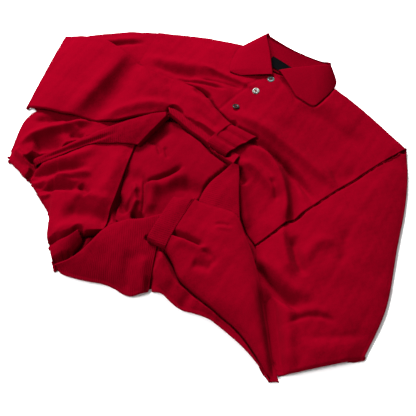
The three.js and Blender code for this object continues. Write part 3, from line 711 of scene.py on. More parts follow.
HEM_NEAR = Piece(
    "hem_rib_near",
    rows=spine([
        [-235, -100, -55, 8, 12, 10, 0],
        [-213, -100, -90, 20, 20, 10, 1],
        [-186, -94, -92, 46, 30, 10, 4],
        [-162, -82, -95, 78, 36, 10, 8],
        [-138, -80, -100, 97, 38, 10, 10],
        [-110, -85, -100, 115, 36, 10, 7],
        [-80, -75, -100, 120, 31, 10, 5],
    ]),
    folds=[
        [-96, -84, -100, -152, -2, 9, 5, 0],
        [-118, -78, -124, -148, -4, 9, -4, 0],
        [-90, -118, -94, -152, 0, 5, -4, 0],
    ],
    rolls={"a": (5, 12), "b": (6, "floor")},
    cut=(0.13, 0.175), slot="rib", ribs="t",
)

# Back of the body: its inside shows through the hem opening, and its edge along the near side.
BACK_INSIDE = Piece(
    "back_panel_inside",
    rows=[
        [-128, 134, 17, -148, -18, 15, 0],
        [-96, 158, 20, -124, -30, 14, 2],
        [-62, 165, 26, -92, -24, 14, 4],
        [-12, 134, 29, -45, -4, 17, 4],
        [44, 74, 30, 0, 0, 20, 2],
    ],
    folds=[
        [-108, 47, -38, 79, -6, 4, -13, 0.3],  # long crease, with a lit panel below it
        [-102, 34, -30, 64, -6, 13, 11, 0],
        [-106, 66, -106, -16, 3, 3, -7, 0],  # upright crease
        [-94, 54, -94, -10, 2, 10, 8, 0],
        [-121, 54, -119, -12, 2, 5, 7, 0],
        [-136, 4, -110, 42, 2, 4, 4, 0],  # folds that fan out from the pit
        [-128, -10, -108, 18, 2, 4, 4, 0],
        [-150, 28, -128, -8, 0, 8, -12, 0],  # two pits at the near hem
        [-124, -8, -100, -18, 0, 6, -12, 0],
        [-142, 72, -102, 52, 0, 10, -4, 0],  # band beside the side panel
        [-86, 126, -78, 96, 0, 3, -4, 0],  # small dents
        [-72, 116, -66, 90, 0, 3, -4, 0],
        [-62, 50, 0, 22, 0, 12, -7, 0],
        [-100, 122, -66, 158, 0, 14, -7, 0],
    ],
    cut=(0.15, 0.21), slot="inside", wales="t",
)

BACK_EDGE = Piece(
    "back_panel_edge",
    rows=spine([
        [-90, -95, -85, 75, 34, 10, 7],
        [-70, -105, -90, 65, 32, 10, 6],
        [-45, -130, -90, 60, 28, 9, 5],
        [-10, -155, -80, 40, 24, 8, 3],
        [20, -175, -100, 30, 22, 8, 2],
        [50, -205, -100, 25, 17, 8, 1],
        [78, -243, -115, 13, 12, 8, 0],
        [91, -272, -108, 5, 10, 8, 0],
    ]),
    folds=[
        [-86, -88, -86, -140, 0, 7, -6, 0],
        [-76, -84, -62, -142, 0, 10, 5, 0],
        [-22, -142, -44, -168, 0, 8, -5, 0],
        [-12, -156, 22, -186, 0, 8, 4, 0],
    ],
    rolls={"b": (7, "floor")},
    cut=(0.07, 0.25),
)

# Collar: one leaf that runs round the neck, from front edge to front edge; side a is its roll line.
COLLAR = Piece(
    "collar",
    rows=[
        [110, 251, 48, 58, 257, 37, 1],
        [110, 258, 49, 41, 266, 35, 1],
        [109, 268, 50, 38, 273, 35, 1],
        [107, 298, 52, 43, 298, 32, 1],
        [103, 330, 54, 58, 328, 29, 1],
        [105, 338, 53, 86, 345, 22, 1],
        [114, 329, 53, 122, 341, 17, 1],
        [150, 303, 50, 158, 315, 15, 1],
        [190, 284, 46, 199, 295, 14, 1],
        [211, 277, 45, 224, 272, 15, 1],
        [213, 273, 45, 224, 246, 24, 1],
        [200, 271, 47, 208, 220, 31, 1],
        [186, 269, 48, 190, 199, 35, 1],
        [178, 268, 48, 182, 192, 36, 1],
        [168, 266, 49, 174, 193, 37, 1],
        [144, 262, 50, 160, 202, 40, 1],
        [124, 258, 50, 150, 209, 42, 1],
    ],
    rolls={"a": (2.5, 5.5)},
    cut=(0.07, 0.36), slot="rib", spacing=2.0, loose=0.1, wales="t",
)

# Inside of the neck: the stand of the collar, down to the back neckline.
STAND = Piece(
    "collar_stand",
    rows=[
        [105, 334, 50, 101, 280, 37, -1],
        [133, 313, 50, 119, 264, 37, -2],
        [160, 295, 48, 143, 255, 37, -2],
        [190, 281, 45, 168, 257, 39, -1],
        [209, 275, 44, 190, 264, 42, 0],
    ],
    cut=(0.04, 0.12), slot="inside", spacing=2.0, loose=0.1, free=True,
)


# ---- laying the pieces ------------------------------------------------------------------------

HEAP = Cover()
FACES = {}


def ribbed(piece, face):
    """The face with its ribs raised.

    Formula: a wave of the distance walked across the ribs, moved out along the normal.
    """
    axis = 1 if piece.ribs == "s" else 0
    across = walked(face, axis)
    wave = np.cos(2 * math.pi * across / (settings().rib_pitch / MM))
    return face + normals_of(face) * (settings().rib_height / MM * (wave - 1) / 2)[..., None]


def lay(piece):
    """Makes a cloth piece under all that lies on it, and adds it to what covers the next ones."""
    cloth = settings().thickness / MM
    face = cloth_face(piece)
    if not piece.free:
        face = HEAP.press(face, PRESS_GAP)
    HEAP.add(face, cloth, piece)
    FACES[piece.name] = face
    along_s, along_t = walked(face, 0), walked(face, 1)
    wale, course = (along_t, along_s) if piece.wales == "s" else (along_s, along_t)
    if piece.ribs:
        face = ribbed(piece, face)
    sheet = as_object(grid_mesh(piece.name + "_knit", face, wale, course), piece.slot, piece.name)
    thicken(sheet, cloth)


PLACKET_LIFT = 2.6  # height of the strip over the front
PLACKET_EDGE = 7.0  # how steeply it drops over its free edge
PLACKET_FOOT = 30  # how steeply it drops over its foot
PLACKET_STITCHES = (0.6, 0.72, 0.05)  # depth, place across and width of its line of stitches
PLACKET_SEWN = (0.2, 1.2)  # share of its height left at its sewn side, and how steeply it rises
PLACKET_ROOM = 0.4  # room under the strip
PLACKET_GAP = 0.3  # room left between the strip and what lies on it
PLACKET_CLOTH = 1.2


def placket_point(share, side):
    """Plan points of the placket: `share` of the way down and `side` from -1 to 1 across."""
    down = PLACKET_END - PLACKET_TOP
    across = np.array([down[1], -down[0]]) / np.linalg.norm(down)
    return (PLACKET_TOP + np.multiply.outer(share, down)
            + np.multiply.outer(side, across) * PLACKET_WIDTH / 2)


def lay_placket():
    """The upper strip of the placket, on the front.

    Formula: the front's height under each plan point plus the strip's own, which drops away over
    the free edge and the foot, and fades into the front along its sewn side.
    """
    relief = Relief(FACES["front_panel"])
    share, side = np.meshgrid(np.linspace(-0.02, 1.0, 110), np.linspace(-1, 1, 40), indexing="ij")
    face = np.zeros(share.shape + (3,))
    face[..., :2] = placket_point(share, side)
    lift = PLACKET_LIFT * ease((1 - side) * PLACKET_EDGE) * ease((1.0 - share) * PLACKET_FOOT)
    depth, place, width = PLACKET_STITCHES
    lift -= depth * np.exp(-((side - place) / width) ** 2)
    left, rise = PLACKET_SEWN
    lift *= left + (1 - left) * ease((side + 1.0) * rise)
    face[..., 2] = relief.at(face[..., 0], face[..., 1]) + PLACKET_ROOM + lift
    face = HEAP.press(face, PLACKET_GAP)
    FACES["placket"] = face
    mesh = grid_mesh("placket_strip", face, walked(face, 1), walked(face, 0))
    strip = as_object(mesh, "rib", "placket")
    thicken(strip, PLACKET_CLOTH)


LABEL_FOOT = 0.4  # how far it goes on below its lower edge, over its height
LABEL_SCALE = (40, 15)  # length and height over which its turned edge is measured
LABEL_EDGE = (0.5, 1.2)  # height and width of the turned edge
LABEL_ROOM = 0.9  # height of the label over the stand
LABEL_CLOTH = 0.5


def lay_label():
    """The neck label, on the collar stand: a bare woven strip with a turned edge."""
    relief = Relief(FACES["collar_stand"])
    u, v = np.meshgrid(np.linspace(0, 1, 60), np.linspace(-LABEL_FOOT, 1, 32), indexing="ij")
    face = np.zeros(u.shape + (3,))
    face[..., :2] = LABEL_START + u[..., None] * LABEL_ALONG + v[..., None] * LABEL_ACROSS
    rim = np.minimum(np.minimum(u, 1 - u) * LABEL_SCALE[0],
                     np.minimum(v + LABEL_FOOT, 1 - v) * LABEL_SCALE[1])
    high, wide = LABEL_EDGE
    face[..., 2] = (relief.at(face[..., 0], face[..., 1]) + LABEL_ROOM
                    + high * np.exp(-(rim / wide) ** 2))
    mesh = grid_mesh("neck_label_cloth", face, walked(face, 1), walked(face, 0))
    label = as_object(mesh, "label", "neck_label")
    thicken(label, LABEL_CLOTH)


# ---- buttons ----------------------------------------------------------------------------------

# Section of a button from the middle of its face, over the rim, to the middle of its back.
BUTTON_PROFILE = (
    (0.0, 0.60), (0.28, 0.62), (0.52, 0.66), (0.64, 0.80), (0.72, 0.95), (0.82, 1.0), (0.92, 0.92),
    (0.985, 0.72), (1.0, 0.5), (0.95, 0.28), (0.80, 0.1), (0.4, 0.0), (0.0, 0.0),
)
BUTTON_RADIUS = 6.1
BUTTON_THICKNESS = 2.6
BUTTON_PLACES = (0.12, 0.41, 0.79)  # share of the way down the placket
BUTTON_SPINS = (0.5, 0.2, 0.8)  # how far each is turned, in radians
BUTTON_LEANS = ((0.0, 0.0), (0.0, 0.0), (0.24, 0.28))  # how each hangs on its thread
BUTTON_ROOM = 0.9  # height of a button's back over the placket
LEAN_RISE = 0.85  # share of the radius by which a leaning button is lifted
SLOPE_STEP = 5.0  # distance over which the placket's slope is taken
TURNS = 72  # points round a button, and along its section
HOLE_OFFSET = 1.35  # from the middle of the button, along and across
HOLE_SPREAD = 0.42  # square of a hole's radius
HOLE_DEPTH = 1.1
THREAD_RADIUS = 0.42
THREAD_RISES = (0.45, 0.8)  # height of the arch of the lower and the upper thread
THREAD_LEVEL = 0.62  # height of the threads' ends, over the button's thickness
THREAD_DIP = 0.9  # how far a thread's ends go down into the holes
THREAD_END = 0.97  # share of the way from its middle where it goes down


def disc_mesh(rows, shape):
    """A closed body turned round Z. `shape(r, angle, z)` may move its heights.

    Formula: the profile, smoothed through its rows, is carried round the axis; the first and the
    last ring shrink to single points, and both are closed with triangles.
    """
    profile = through(np.array(rows, float), np.linspace(0, len(rows) - 1, TURNS))[1:-1]
    angle = np.linspace(0, 2 * math.pi, TURNS, endpoint=False)[None, :]
    radius = np.maximum(profile[:, :1], 0.01) * BUTTON_RADIUS
    height = shape(radius, angle, profile[:, 1:] * BUTTON_THICKNESS)
    ring = np.stack([radius * np.cos(angle), radius * np.sin(angle), height + 0 * angle], -1)
    poles = [[0, 0, ring[0, :, 2].mean()], [0, 0, ring[-1, :, 2].mean()]]
    points = np.concatenate([ring.reshape(-1, 3), poles])
    index = np.arange(len(ring) * TURNS).reshape(-1, TURNS)
    index = np.hstack([index, index[:, :1]])
    top, bottom = len(points) - 2, len(points) - 1
    caps = [np.stack([np.full(TURNS, top), index[0, :-1], index[0, 1:]], -1),
            np.stack([np.full(TURNS, bottom), index[-1, 1:], index[-1, :-1]], -1)]
    return points, grid_quads(index).tolist() + np.concatenate(caps).tolist()


def with_pits(radius, angle, height):
    """Four thread holes pressed into the face of a button."""
    x, y = radius * np.cos(angle), radius * np.sin(angle)
    pits = sum(
        np.exp(-(((x - i * HOLE_OFFSET) ** 2 + (y - j * HOLE_OFFSET) ** 2) / HOLE_SPREAD) ** 2)
        for i in (-1, 1) for j in (-1, 1))
    on_face = height > 0.5 * BUTTON_THICKNESS
    return np.where(on_face, height - HOLE_DEPTH * pits, height + 0 * angle)


def thread_tube(start, end, rise):
    """A thread between two holes: a circle carried along an arch. Returns points, sides, ends."""
    sides, steps = 8, 14
    u = np.linspace(0, 1, steps)[:, None]
    path = np.array(start) * (1 - u) + np.array(end) * u
    way = 2 * u[:, 0] - 1
    path[:, 2] += rise * (1 - way ** 4) - THREAD_DIP * (np.abs(way) > THREAD_END)
    tangent = np.gradient(path, axis=0)
    tangent /= np.linalg.norm(tangent, axis=1, keepdims=True)
    side = np.cross(tangent, [0, 0, 1])
    side /= np.linalg.norm(side, axis=1, keepdims=True)
    up = np.cross(side, tangent)
    angle = np.linspace(0, 2 * math.pi, sides, endpoint=False)[None, :, None]
    circle = np.cos(angle) * side[:, None] + np.sin(angle) * up[:, None]
    tube = path[:, None] + THREAD_RADIUS * circle
    index = np.arange(steps * sides).reshape(steps, sides)
    after = np.roll(index, -1, axis=1)
    quads = np.stack([index[:-1], after[:-1], after[1:], index[1:]], -1).reshape(-1, 4)
    return tube.reshape(-1, 3), quads, np.stack([index[0][::-1], index[-1]])


def placed(points, centre, normal, spin):
    """Points turned so that +Z follows `normal`, spun about it, and moved to `centre`."""
    turn = Vector((0, 0, 1)).rotation_difference(Vector(normal)).to_matrix()
    local = np.array(points)
    c, s = math.cos(spin), math.sin(spin)
    local = local @ np.array([[c, s, 0], [-s, c, 0], [0, 0, 1]])
    return local @ np.array(turn).T + centre


def sew_button(k, share, spin, lean):
    """One button with its thread, on the placket."""
    relief = Relief(FACES["placket"])
    x, y = placket_point(share, 0.0)

    def height(dx=0.0, dy=0.0):
        return relief.at(np.array([x + dx]), np.array([y + dy]))[0]

    slope_x = (height(dx=SLOPE_STEP) - height(dx=-SLOPE_STEP)) / (2 * SLOPE_STEP)
    slope_y = (height(dy=SLOPE_STEP) - height(dy=-SLOPE_STEP)) / (2 * SLOPE_STEP)
    normal = np.array([lean[0] - slope_x, lean[1] - slope_y, 1.0])
    normal /= np.linalg.norm(normal)
    lift = BUTTON_ROOM + LEAN_RISE * BUTTON_RADIUS * math.hypot(*lean)
    centre = np.array([x, y, height() + lift])
    name = f"button_{k}"
    points, faces = disc_mesh(BUTTON_PROFILE, with_pits)
    shell = smooth_mesh(name + "_shell", placed(points, centre, normal, spin), faces)
    as_object(shell, "button", name, button_material(k))
    parts, joined, count = [], [], 0
    o, z = HOLE_OFFSET, THREAD_LEVEL * BUTTON_THICKNESS
    for ends, rise in zip((((-o, -o, z), (o, o, z)), ((-o, o, z), (o, -o, z))), THREAD_RISES):
        tube, sides, caps = thread_tube(*ends, rise)
        parts.append(tube)
        joined += (sides + count).tolist() + (caps + count).tolist()
        count += len(tube)
    points = placed(np.concatenate(parts), centre, normal, spin)
    as_object(smooth_mesh(name + "_thread", points, joined), "rib")


# ---- the hidden layers ------------------------------------------------------------------------

HEAP_CENTRE = np.array([0.0, 40.0])
RIM_INSET = 9.0  # how far inside the outline of the cloth the hidden layers end
RIM_JUMP = 4.0  # how far their outline may step out from ray to ray
RIM_LAYERS = 3  # rolled edges that show at the rim
RIM_ROLL = 1.6  # how far each of them bulges
RIM_HEIGHT = 5.0  # height of all of them together
RIM_LEAN = 3.0  # how far the rim leans in over that height
TOP_INSET = 6.0  # where the top begins, in from the rim
TOP_RISE = 0.8  # how steeply it rises from there, where the cloth above leaves room
TOP_ROOM = 1.2  # room left below the cloth above
TOP_LIMITS = (1.0, 60.0)  # least and greatest height of the top


def lay_hidden_layers():
    """The folded layers below the ones that show: a low rounded body with three layers at its rim.

    Formula: rays from the heap's middle to its outline. Each ray goes up the rim over three rolled
    edges and then runs inwards just under the cloth above.
    """
    turns, rings = 240, 90
    angle = np.linspace(0, 2 * math.pi, turns, endpoint=False)
    ray = np.stack([np.cos(angle), np.sin(angle)], -1)
    reach = np.arange(0.0, 420.0, 1.0)
    x = HEAP_CENTRE[0] + np.multiply.outer(ray[:, 0], reach)
    y = HEAP_CENTRE[1] + np.multiply.outer(ray[:, 1], reach)
    inside = HEAP.under.covered(x, y)
    rim = inside.shape[1] - 1 - np.argmax(inside[:, ::-1], axis=1)
    rim = np.minimum(rim, np.minimum(np.roll(rim, 1), np.roll(rim, -1)) + RIM_JUMP) - RIM_INSET
    layers = np.linspace(0, 1, 25)
    edge = RIM_ROLL * np.abs(np.sin(layers * math.pi * RIM_LAYERS))
    edge += 2.0 * (layers - 1) * (layers > 0.8)
    radius = rim[:, None] + edge[None, :] - RIM_LEAN * layers[None, :]
    inward = (rim[:, None] - TOP_INSET) * np.linspace(1, 0, rings)[None, :] ** 0.9
    radius = np.concatenate([radius, inward[:, :-1]], axis=1)
    x = HEAP_CENTRE[0] + ray[:, :1] * radius
    y = HEAP_CENTRE[1] + ray[:, 1:] * radius
    limit = np.clip(HEAP.limit(x, y) - TOP_ROOM, *TOP_LIMITS)
    rise = RIM_HEIGHT + (rim[:, None] - TOP_INSET - inward[:, :-1]) * TOP_RISE
    z = np.minimum(limit, np.hstack([np.tile(layers * RIM_HEIGHT, (turns, 1)), rise]))
    z[:, 0] = 0.0
    points = np.stack([x, y, z], -1)
    lines = points.shape[1]
    index = np.arange(turns * lines).reshape(turns, lines)
    index = np.vstack([index, index[:1]])
    quads = grid_quads(index)
    top, floor = turns * lines, turns * lines + 1
    caps = np.concatenate([
        np.stack([index[:-1, -1], index[1:, -1], np.full(turns, top)], -1),
        np.stack([index[1:, 0], index[:-1, 0], np.full(turns, floor)], -1)])
    poles = [[*HEAP_CENTRE, z[:, -1].mean()], [*HEAP_CENTRE, 0.0]]
    points = np.concatenate([points.reshape(-1, 3), poles])
    mesh = smooth_mesh("hidden_layers_knit", points, quads.tolist() + caps.tolist())
    lay_uv(mesh, points[:, :2], np.concatenate([quads.ravel(), caps.ravel()]))
    as_object(mesh, "inside", "hidden_layers")


# ---- materials --------------------------------------------------------------------------------

class Wire:
    """A socket of a shader. Arithmetic on it adds Math nodes."""

    def __init__(self, graph, socket):
        self.graph, self.socket = graph, socket

    def math(self, operation, *others):
        return self.graph.node("Math", {"operation": operation}, dict(enumerate((self, *others))))

    def __add__(self, other):
        return self.math("ADD", other)

    def __sub__(self, other):
        return self.math("SUBTRACT", other)

    def __mul__(self, other):
        return self.math("MULTIPLY", other)

    def __rsub__(self, other):
        return self.graph.node("Math", {"operation": "SUBTRACT"}, {0: other, 1: self})

    __radd__, __rmul__ = __add__, __mul__

    def __truediv__(self, other):
        return self.math("DIVIDE", other)

    def __pow__(self, other):
        return self.math("POWER", other)

    def output(self, name):
        return Wire(self.graph, self.socket.node.outputs[name])


class Graph:
    """The nodes of one material, from a cleared tree to its output."""

    def __init__(self, name):
        self.material = bpy.data.materials.new(name)
        self.material.use_nodes = True
        self.tree = self.material.node_tree
        self.tree.nodes.clear()

    def node(self, kind, options=None, inputs=None):
        """One node: its options first, such as an operation or a ramp's stops, then its inputs."""
        made = self.tree.nodes.new("ShaderNode" + kind)
        for name, value in (options or {}).items():
            if name == "stops":
                ramp = made.color_ramp
                for spare in list(ramp.elements)[1:]:
                    ramp.elements.remove(spare)
                for k, (place, colour) in enumerate(value):
                    stop = ramp.elements[0] if k == 0 else ramp.elements.new(place)
                    stop.position, stop.color = place, colour
            else:
                setattr(made, name, value)
        for name, value in (inputs or {}).items():
            if isinstance(value, Wire):
                self.tree.links.new(value.socket, made.inputs[name])
            else:
                made.inputs[name].default_value = value
        return Wire(self, made.outputs[0])

    def mix(self, share, first, second):
        """A colour between two, by a share."""
        made = self.node("Mix", {"data_type": "RGBA"}, {0: share, 6: first, 7: second})
        return Wire(self, made.socket.node.outputs[2])

    def noise(self, scale, detail=2.0, distortion=0.0):
        """Cloudy variation over the object's own space."""
        return self.node("TexNoise", None, {
            "Vector": self.node("TexCoord").output("Object"), "Scale": scale, "Detail": detail,
            "Distortion": distortion})

    def cloth_uv(self):
        """Distances in metres over the cloth: along the wales, with its "Y" output across them."""
        return self.node("SeparateXYZ", None, {0: self.node("UVMap", {"uv_map": "cloth"})})

    def bump(self, height, strength, distance):
        return self.node("Bump", None, {
            "Height": height, "Strength": strength, "Distance": distance})

    def finish(self, inputs):
        """The material, which ends in a Principled BSDF with these inputs."""
        shader = self.node("BsdfPrincipled", None, inputs)
        end = self.tree.nodes.new("ShaderNodeOutputMaterial")
        self.tree.links.new(shader.socket, end.inputs["Surface"])
        return self.material


def rgba(colour):
    return (*colour, 1.0)


LEG_LEAN = 1.1  # how far the legs of a stitch lean, in rows to a wale
COLOUR_SHARES = (0.35, 0.5, 0.25)  # how much the painted light on the stitch crowns, the clouds and the nap lighten the knit over its painted shade
NAP_HEIGHT = 0.6  # height of the nap over that of a stitch
WARP, WEFT = 0.0006, 0.0009  # distance from thread to thread of the label, in metres
FLECK_SOFT = 0.04  # half width of the change from a button's ground to its flecks


def knit_material(name, colour):
    """Fine knit with a soft nap.

    Formula: each wale is a column of V-shaped stitches. A stitch has two round legs that lean
    towards the middle of the wale, so its height is an arch across the leg times an arch along it.
    The colour follows the same height: painted shade between the stitches and painted light on
    their crowns, with clouds and nap as the knit's own uneven tone.
    """
    knit, graph = settings(), Graph(name)
    uv = graph.cloth_uv()
    across = uv.output("Y") / knit.wale
    lane = (across.math("FRACT") - 0.5).math("ABSOLUTE")
    along = (uv / knit.course + lane * LEG_LEAN).math("FRACT")
    leg = (across * 2.0).math("FRACT")
    stitch = (leg * (1 - leg) * along * (1 - along) * 16.0) ** 0.5
    cloud, nap = graph.noise(22.0, detail=3.0), graph.noise(900.0)
    # Painted shade and light: the colour is darkest between the stitches and lightest on their
    # crowns
    of_painted_stitch_light, of_cloud, of_nap = COLOUR_SHARES
    painted_stitch_light_and_mottle = stitch * of_painted_stitch_light + cloud * of_cloud + nap * of_nap
    base = graph.mix(painted_stitch_light_and_mottle.math("MINIMUM", 1.0), rgba(knit.red_painted_stitch_shade), rgba(colour))
    return graph.finish({
        "Base Color": base, "Roughness": 0.86 + nap * 0.12,
        "Normal": graph.bump(stitch + nap * NAP_HEIGHT, strength=0.55, distance=0.0004),
        "Specular IOR Level": 0.0, "Sheen Weight": knit.nap, "Sheen Roughness": 0.45,
        "Sheen Tint": (1.0, 0.25, 0.3, 1.0)})


def label_material():
    """Black woven tape: fine warp and weft."""
    graph = Graph("label_weave")
    uv = graph.cloth_uv()
    warp = (uv.output("Y") * 2 * math.pi / WARP).math("SINE")
    weft = (uv * 2 * math.pi / WEFT).math("SINE")
    weave = warp * weft * 0.5 + 0.5
    base = graph.mix(weave, (0.0006, 0.0006, 0.0008, 1), (0.002, 0.0022, 0.0028, 1))
    return graph.finish({
        "Base Color": base, "Roughness": 0.7 + weave * 0.15, "Specular IOR Level": 0.01,
        "Normal": graph.bump(weave, strength=0.6, distance=0.0003)})


# Shell buttons: the ground, the flecks, and how far the flecks cover it.
BUTTON_TONES = {
    1: ((0.03, 0.055, 0.055), (0.10, 0.14, 0.135), 0.42),
    2: ((0.20, 0.22, 0.20), (0.012, 0.012, 0.012), 0.48),
    3: ((0.006, 0.005, 0.005), (0.020, 0.020, 0.020), 0.40),
}


def button_material(k):
    """Polished shell: cloudy layers with flecks, and a clear coat."""
    ground, fleck, cover = BUTTON_TONES[k]
    graph = Graph(f"button_{k}_shell")
    cloud, fine = graph.noise(330.0, distortion=1.0), graph.noise(620.0)
    share = graph.node("ValToRGB", {"stops": [
        (0.0, (0, 0, 0, 1)), (1 - cover - FLECK_SOFT, (0, 0, 0, 1)),
        (1 - cover + FLECK_SOFT, (1, 1, 1, 1))]}, {0: cloud})
    base = graph.mix(share, rgba(ground), rgba(fleck))
    return graph.finish({
        "Base Color": base, "Roughness": 0.3 + fine * 0.2, "Coat Weight": 0.03,
        "Normal": graph.bump(fine, strength=0.15, distance=0.0002), "Specular IOR Level": 0.08})


MAKERS = {
    "knit": lambda: knit_material("knit", settings().red),
    "rib": lambda: knit_material("rib_knit", settings().rib_red),
    "inside": lambda: knit_material("knit_inside", settings().inside_red),
    "label": label_material,
}
MATERIALS = {}


def material_for(slot):
    """The material of a slot, made on first use."""
    if slot not in MATERIALS:
        MATERIALS[slot] = MAKERS[slot]()
    return MATERIALS[slot]


# ---- stage ------------------------------------------------------------------------------------

TABLE_SIDE = 4.0  # from its middle, in metres
TABLE_TOP = -0.0006
KEY_LIGHT = ("key", (-0.8, 2.8, 2.4), 1.4)  # name, place and width, in metres
SIDE_LIGHT = ("side", (-2.2, -0.4, 2.4), 1.6)
SIDE_SHARE = 0.22  # power of the side light over that of the key
LOOK_HEIGHT = 0.02  # height of the point that the camera looks at


def look_at(thing, target):
    thing.rotation_euler = (Vector(target) - thing.location).to_track_quat("-Z", "Y").to_euler()


def soft_light(name, place, size, power):
    data = bpy.data.lights.new(name, "AREA")
    data.shape, data.size, data.energy = "DISK", size, power
    lamp = bpy.data.objects.new(name, data)
    bpy.context.collection.objects.link(lamp)
    lamp.location = place
    look_at(lamp, (0, 0, 0))


def set_stage():
    """The pale table, two soft lights in an even white surround, and the camera."""
    stage = bpy.context.scene.sweater_stage
    mesh = bpy.data.meshes.new("table")
    corners = [(x * TABLE_SIDE, y * TABLE_SIDE, TABLE_TOP)
               for x, y in ((-1, -1), (1, -1), (1, 1), (-1, 1))]
    mesh.from_pydata(corners, [], [(0, 1, 2, 3)])
    table = bpy.data.objects.new("table", mesh)
    bpy.context.collection.objects.link(table)
    graph = Graph("pale_table")
    base = graph.mix(graph.noise(3.0), (0.90, 0.90, 0.90, 1), (0.93, 0.93, 0.93, 1))
    mesh.materials.append(
        graph.finish({"Base Color": base, "Roughness": 0.9, "Specular IOR Level": 0.1}))

    world = bpy.context.scene.world or bpy.data.worlds.new("studio")
    bpy.context.scene.world = world
    world.use_nodes = True
    background = world.node_tree.nodes["Background"]
    background.inputs["Color"].default_value = (1, 1, 1, 1)
    background.inputs["Strength"].default_value = stage.fill

    soft_light(*KEY_LIGHT, stage.key)
    soft_light(*SIDE_LIGHT, stage.key * SIDE_SHARE)

    data = bpy.data.cameras.new("camera")
    data.lens, data.sensor_width = stage.lens, 36.0
    data.clip_start, data.clip_end = 0.05, 20
    camera = bpy.data.objects.new("camera", data)
    bpy.context.collection.objects.link(camera)
    rise = stage.elevation
    target = Vector((SHIFT[0] * MM, SHIFT[1] * MM, LOOK_HEIGHT))
    camera.location = target + stage.distance * Vector((0, -math.cos(rise), math.sin(rise)))
    look_at(camera, target)
    bpy.context.scene.camera = camera
    bpy.context.scene.view_settings.view_transform = "Standard"


# ---- add-on -----------------------------------------------------------------------------------

class SweaterKnit(bpy.types.PropertyGroup):
    """Sizes and colours of the knit."""

    thickness: FloatProperty(
        name="Cloth", description="Thickness of one layer of knit", default=0.002,
        min=0.001, max=0.003, unit="LENGTH")
    wale: FloatProperty(
        name="Wale", description="Width of one column of stitches", default=0.0012, unit="LENGTH")
    course: FloatProperty(
        name="Course", description="Height of one row of stitches", default=0.0010, unit="LENGTH")
    rib_pitch: FloatProperty(
        name="Rib pitch", description="Distance from rib to rib", default=0.0034, unit="LENGTH")
    rib_height: FloatProperty(
        name="Rib height", description="Depth of the grooves between ribs", default=0.0007,
        unit="LENGTH")
    nap: FloatProperty(
        name="Nap", description="Strength of the soft sheen of the nap", default=0.006,
        subtype="FACTOR")
    red: FloatVectorProperty(
        name="Knit", description="Colour of the plain knit", default=(0.122, 0.0002, 0.0048),
        subtype="COLOR")
    rib_red: FloatVectorProperty(
        name="Rib", description="Colour of the ribs and the collar",
        default=(0.112, 0.0002, 0.0046), subtype="COLOR")
    inside_red: FloatVectorProperty(
        name="Inside", description="Colour of the knit's inside", default=(0.104, 0.0002, 0.0043),
        subtype="COLOR")
    # Painted shade: the colour between the stitches stands for the shade that falls there
    red_painted_stitch_shade: FloatVectorProperty(
        name="Shade", description="Colour between the stitches", default=(0.085, 0.0001, 0.0033),
        subtype="COLOR")


class SweaterStage(bpy.types.PropertyGroup):
    """Lights and camera."""

    key: FloatProperty(
        name="Key", description="Power of the large soft light", default=510.0, unit="POWER")
    fill: FloatProperty(
        name="Fill", description="Strength of the even light", default=0.55, subtype="FACTOR")
    lens: FloatProperty(
        name="Lens", description="Focal length in millimetres", default=70.3, unit="CAMERA")
    distance: FloatProperty(
        name="Distance", description="From the camera to the heap", default=1.3, unit="LENGTH")
    elevation: FloatProperty(
        name="Elevation", description="Angle of the camera above the table",
        default=math.radians(60), subtype="ANGLE")


def laid(*pieces):
    """Lays the pieces of one step in their order, and tells Blender that it's done."""
    for piece in pieces:
        lay(piece)
    return {"FINISHED"}


class SWEATER_OT_left_forearm(bpy.types.Operator):
    """Lays the left cuff and forearm, which lie on top of the heap"""
    bl_idname = "sweater.left_forearm"
    bl_label = "Left forearm and cuff"

    def execute(self, context):
        return laid(LEFT_CUFF, LEFT_FORE)


class SWEATER_OT_right_forearm(bpy.types.Operator):
    """Lays the right cuff and forearm over the chest, and the two strips of hem beside them"""
    bl_idname = "sweater.right_forearm"
    bl_label = "Right forearm, cuff and hem"

    def execute(self, context):
        return laid(RIGHT_CUFF, HEM_FRONT, HEM_FAR, RIGHT_FORE)


class SWEATER_OT_collar(bpy.types.Operator):
    """Lays the collar, its stand and the bare neck label"""
    bl_idname = "sweater.collar"
    bl_label = "Collar"

    def execute(self, context):
        done = laid(COLLAR, STAND)
        lay_label()
        return done


class SWEATER_OT_hem_on_top(bpy.types.Operator):
    """Lays the two parts of the rib hem that lie on the body below the sleeves"""
    bl_idname = "sweater.hem_on_top"
    bl_label = "Hem on the body"

    def execute(self, context):
        return laid(HEM_NEAR, HEM_FLAP)


class SWEATER_OT_front(bpy.types.Operator):
    """Lays the front and its placket"""
    bl_idname = "sweater.front"
    bl_label = "Front and placket"

    def execute(self, context):
        done = laid(FRONT)
        lay_placket()
        return done


class SWEATER_OT_buttons(bpy.types.Operator):
    """Sews the three buttons onto the placket"""
    bl_idname = "sweater.buttons"
    bl_label = "Buttons"

    def execute(self, context):
        for k, how in enumerate(zip(BUTTON_PLACES, BUTTON_SPINS, BUTTON_LEANS), 1):
            sew_button(k, *how)
        return {"FINISHED"}


class SWEATER_OT_left_upper_arm(bpy.types.Operator):
    """Lays the left upper arm"""
    bl_idname = "sweater.left_upper_arm"
    bl_label = "Left upper arm"

    def execute(self, context):
        return laid(LEFT_UPPER)


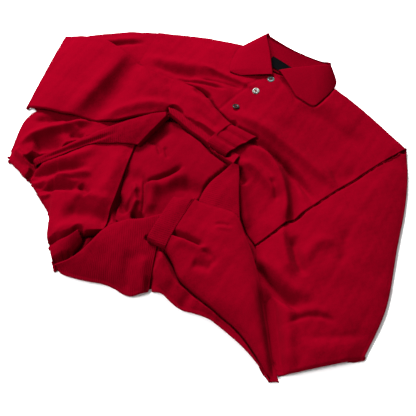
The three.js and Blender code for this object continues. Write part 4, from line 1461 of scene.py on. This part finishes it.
class SWEATER_OT_hem_below(bpy.types.Operator):
    """Lays the loop of the rib hem, under the parts that lie on the body"""
    bl_idname = "sweater.hem_below"
    bl_label = "Hem loop"

    def execute(self, context):
        return laid(HEM_LOOP)


class SWEATER_OT_body(bpy.types.Operator):
    """Lays the sides and the back of the body, the right upper arm and the hidden layers"""
    bl_idname = "sweater.body"
    bl_label = "Sides, back and hidden layers"

    def execute(self, context):
        done = laid(SIDE_LOW, SIDE_FAR, BACK_EDGE, BACK_INSIDE, RIGHT_UPPER)
        lay_hidden_layers()
        return done


class SWEATER_OT_stage(bpy.types.Operator):
    """Sets the table, the lights and the camera"""
    bl_idname = "sweater.stage"
    bl_label = "Stage"

    def execute(self, context):
        set_stage()
        return {"FINISHED"}


STEPS = (
    SWEATER_OT_left_forearm, SWEATER_OT_right_forearm, SWEATER_OT_collar, SWEATER_OT_hem_on_top,
    SWEATER_OT_front, SWEATER_OT_buttons, SWEATER_OT_left_upper_arm, SWEATER_OT_hem_below,
    SWEATER_OT_body, SWEATER_OT_stage,
)


class SWEATER_PT_panel(bpy.types.Panel):
    """The steps, in the order in which they are laid, and the sizes and colours"""
    bl_label = "Sweater"
    bl_idname = "SWEATER_PT_panel"
    bl_space_type = "VIEW_3D"
    bl_region_type = "UI"
    bl_category = "Sweater"

    def draw(self, context):
        layout = self.layout
        for group in (context.scene.sweater_knit, context.scene.sweater_stage):
            for name in group.__annotations__:
                layout.prop(group, name)
        for step in STEPS:
            layout.operator(step.bl_idname)


CLASSES = (SweaterKnit, SweaterStage, *STEPS, SWEATER_PT_panel)


def register():
    for made in CLASSES:
        bpy.utils.register_class(made)
    bpy.types.Scene.sweater_knit = PointerProperty(type=SweaterKnit)
    bpy.types.Scene.sweater_stage = PointerProperty(type=SweaterStage)


def unregister():
    del bpy.types.Scene.sweater_stage
    del bpy.types.Scene.sweater_knit
    for made in reversed(CLASSES):
        bpy.utils.unregister_class(made)


def main():
    """Makes the whole sweater from the top of the heap down, then the stage."""
    register()
    for step in STEPS:
        group, name = step.bl_idname.split(".")
        getattr(getattr(bpy.ops, group), name)()


if __name__ == "__main__":
    main()
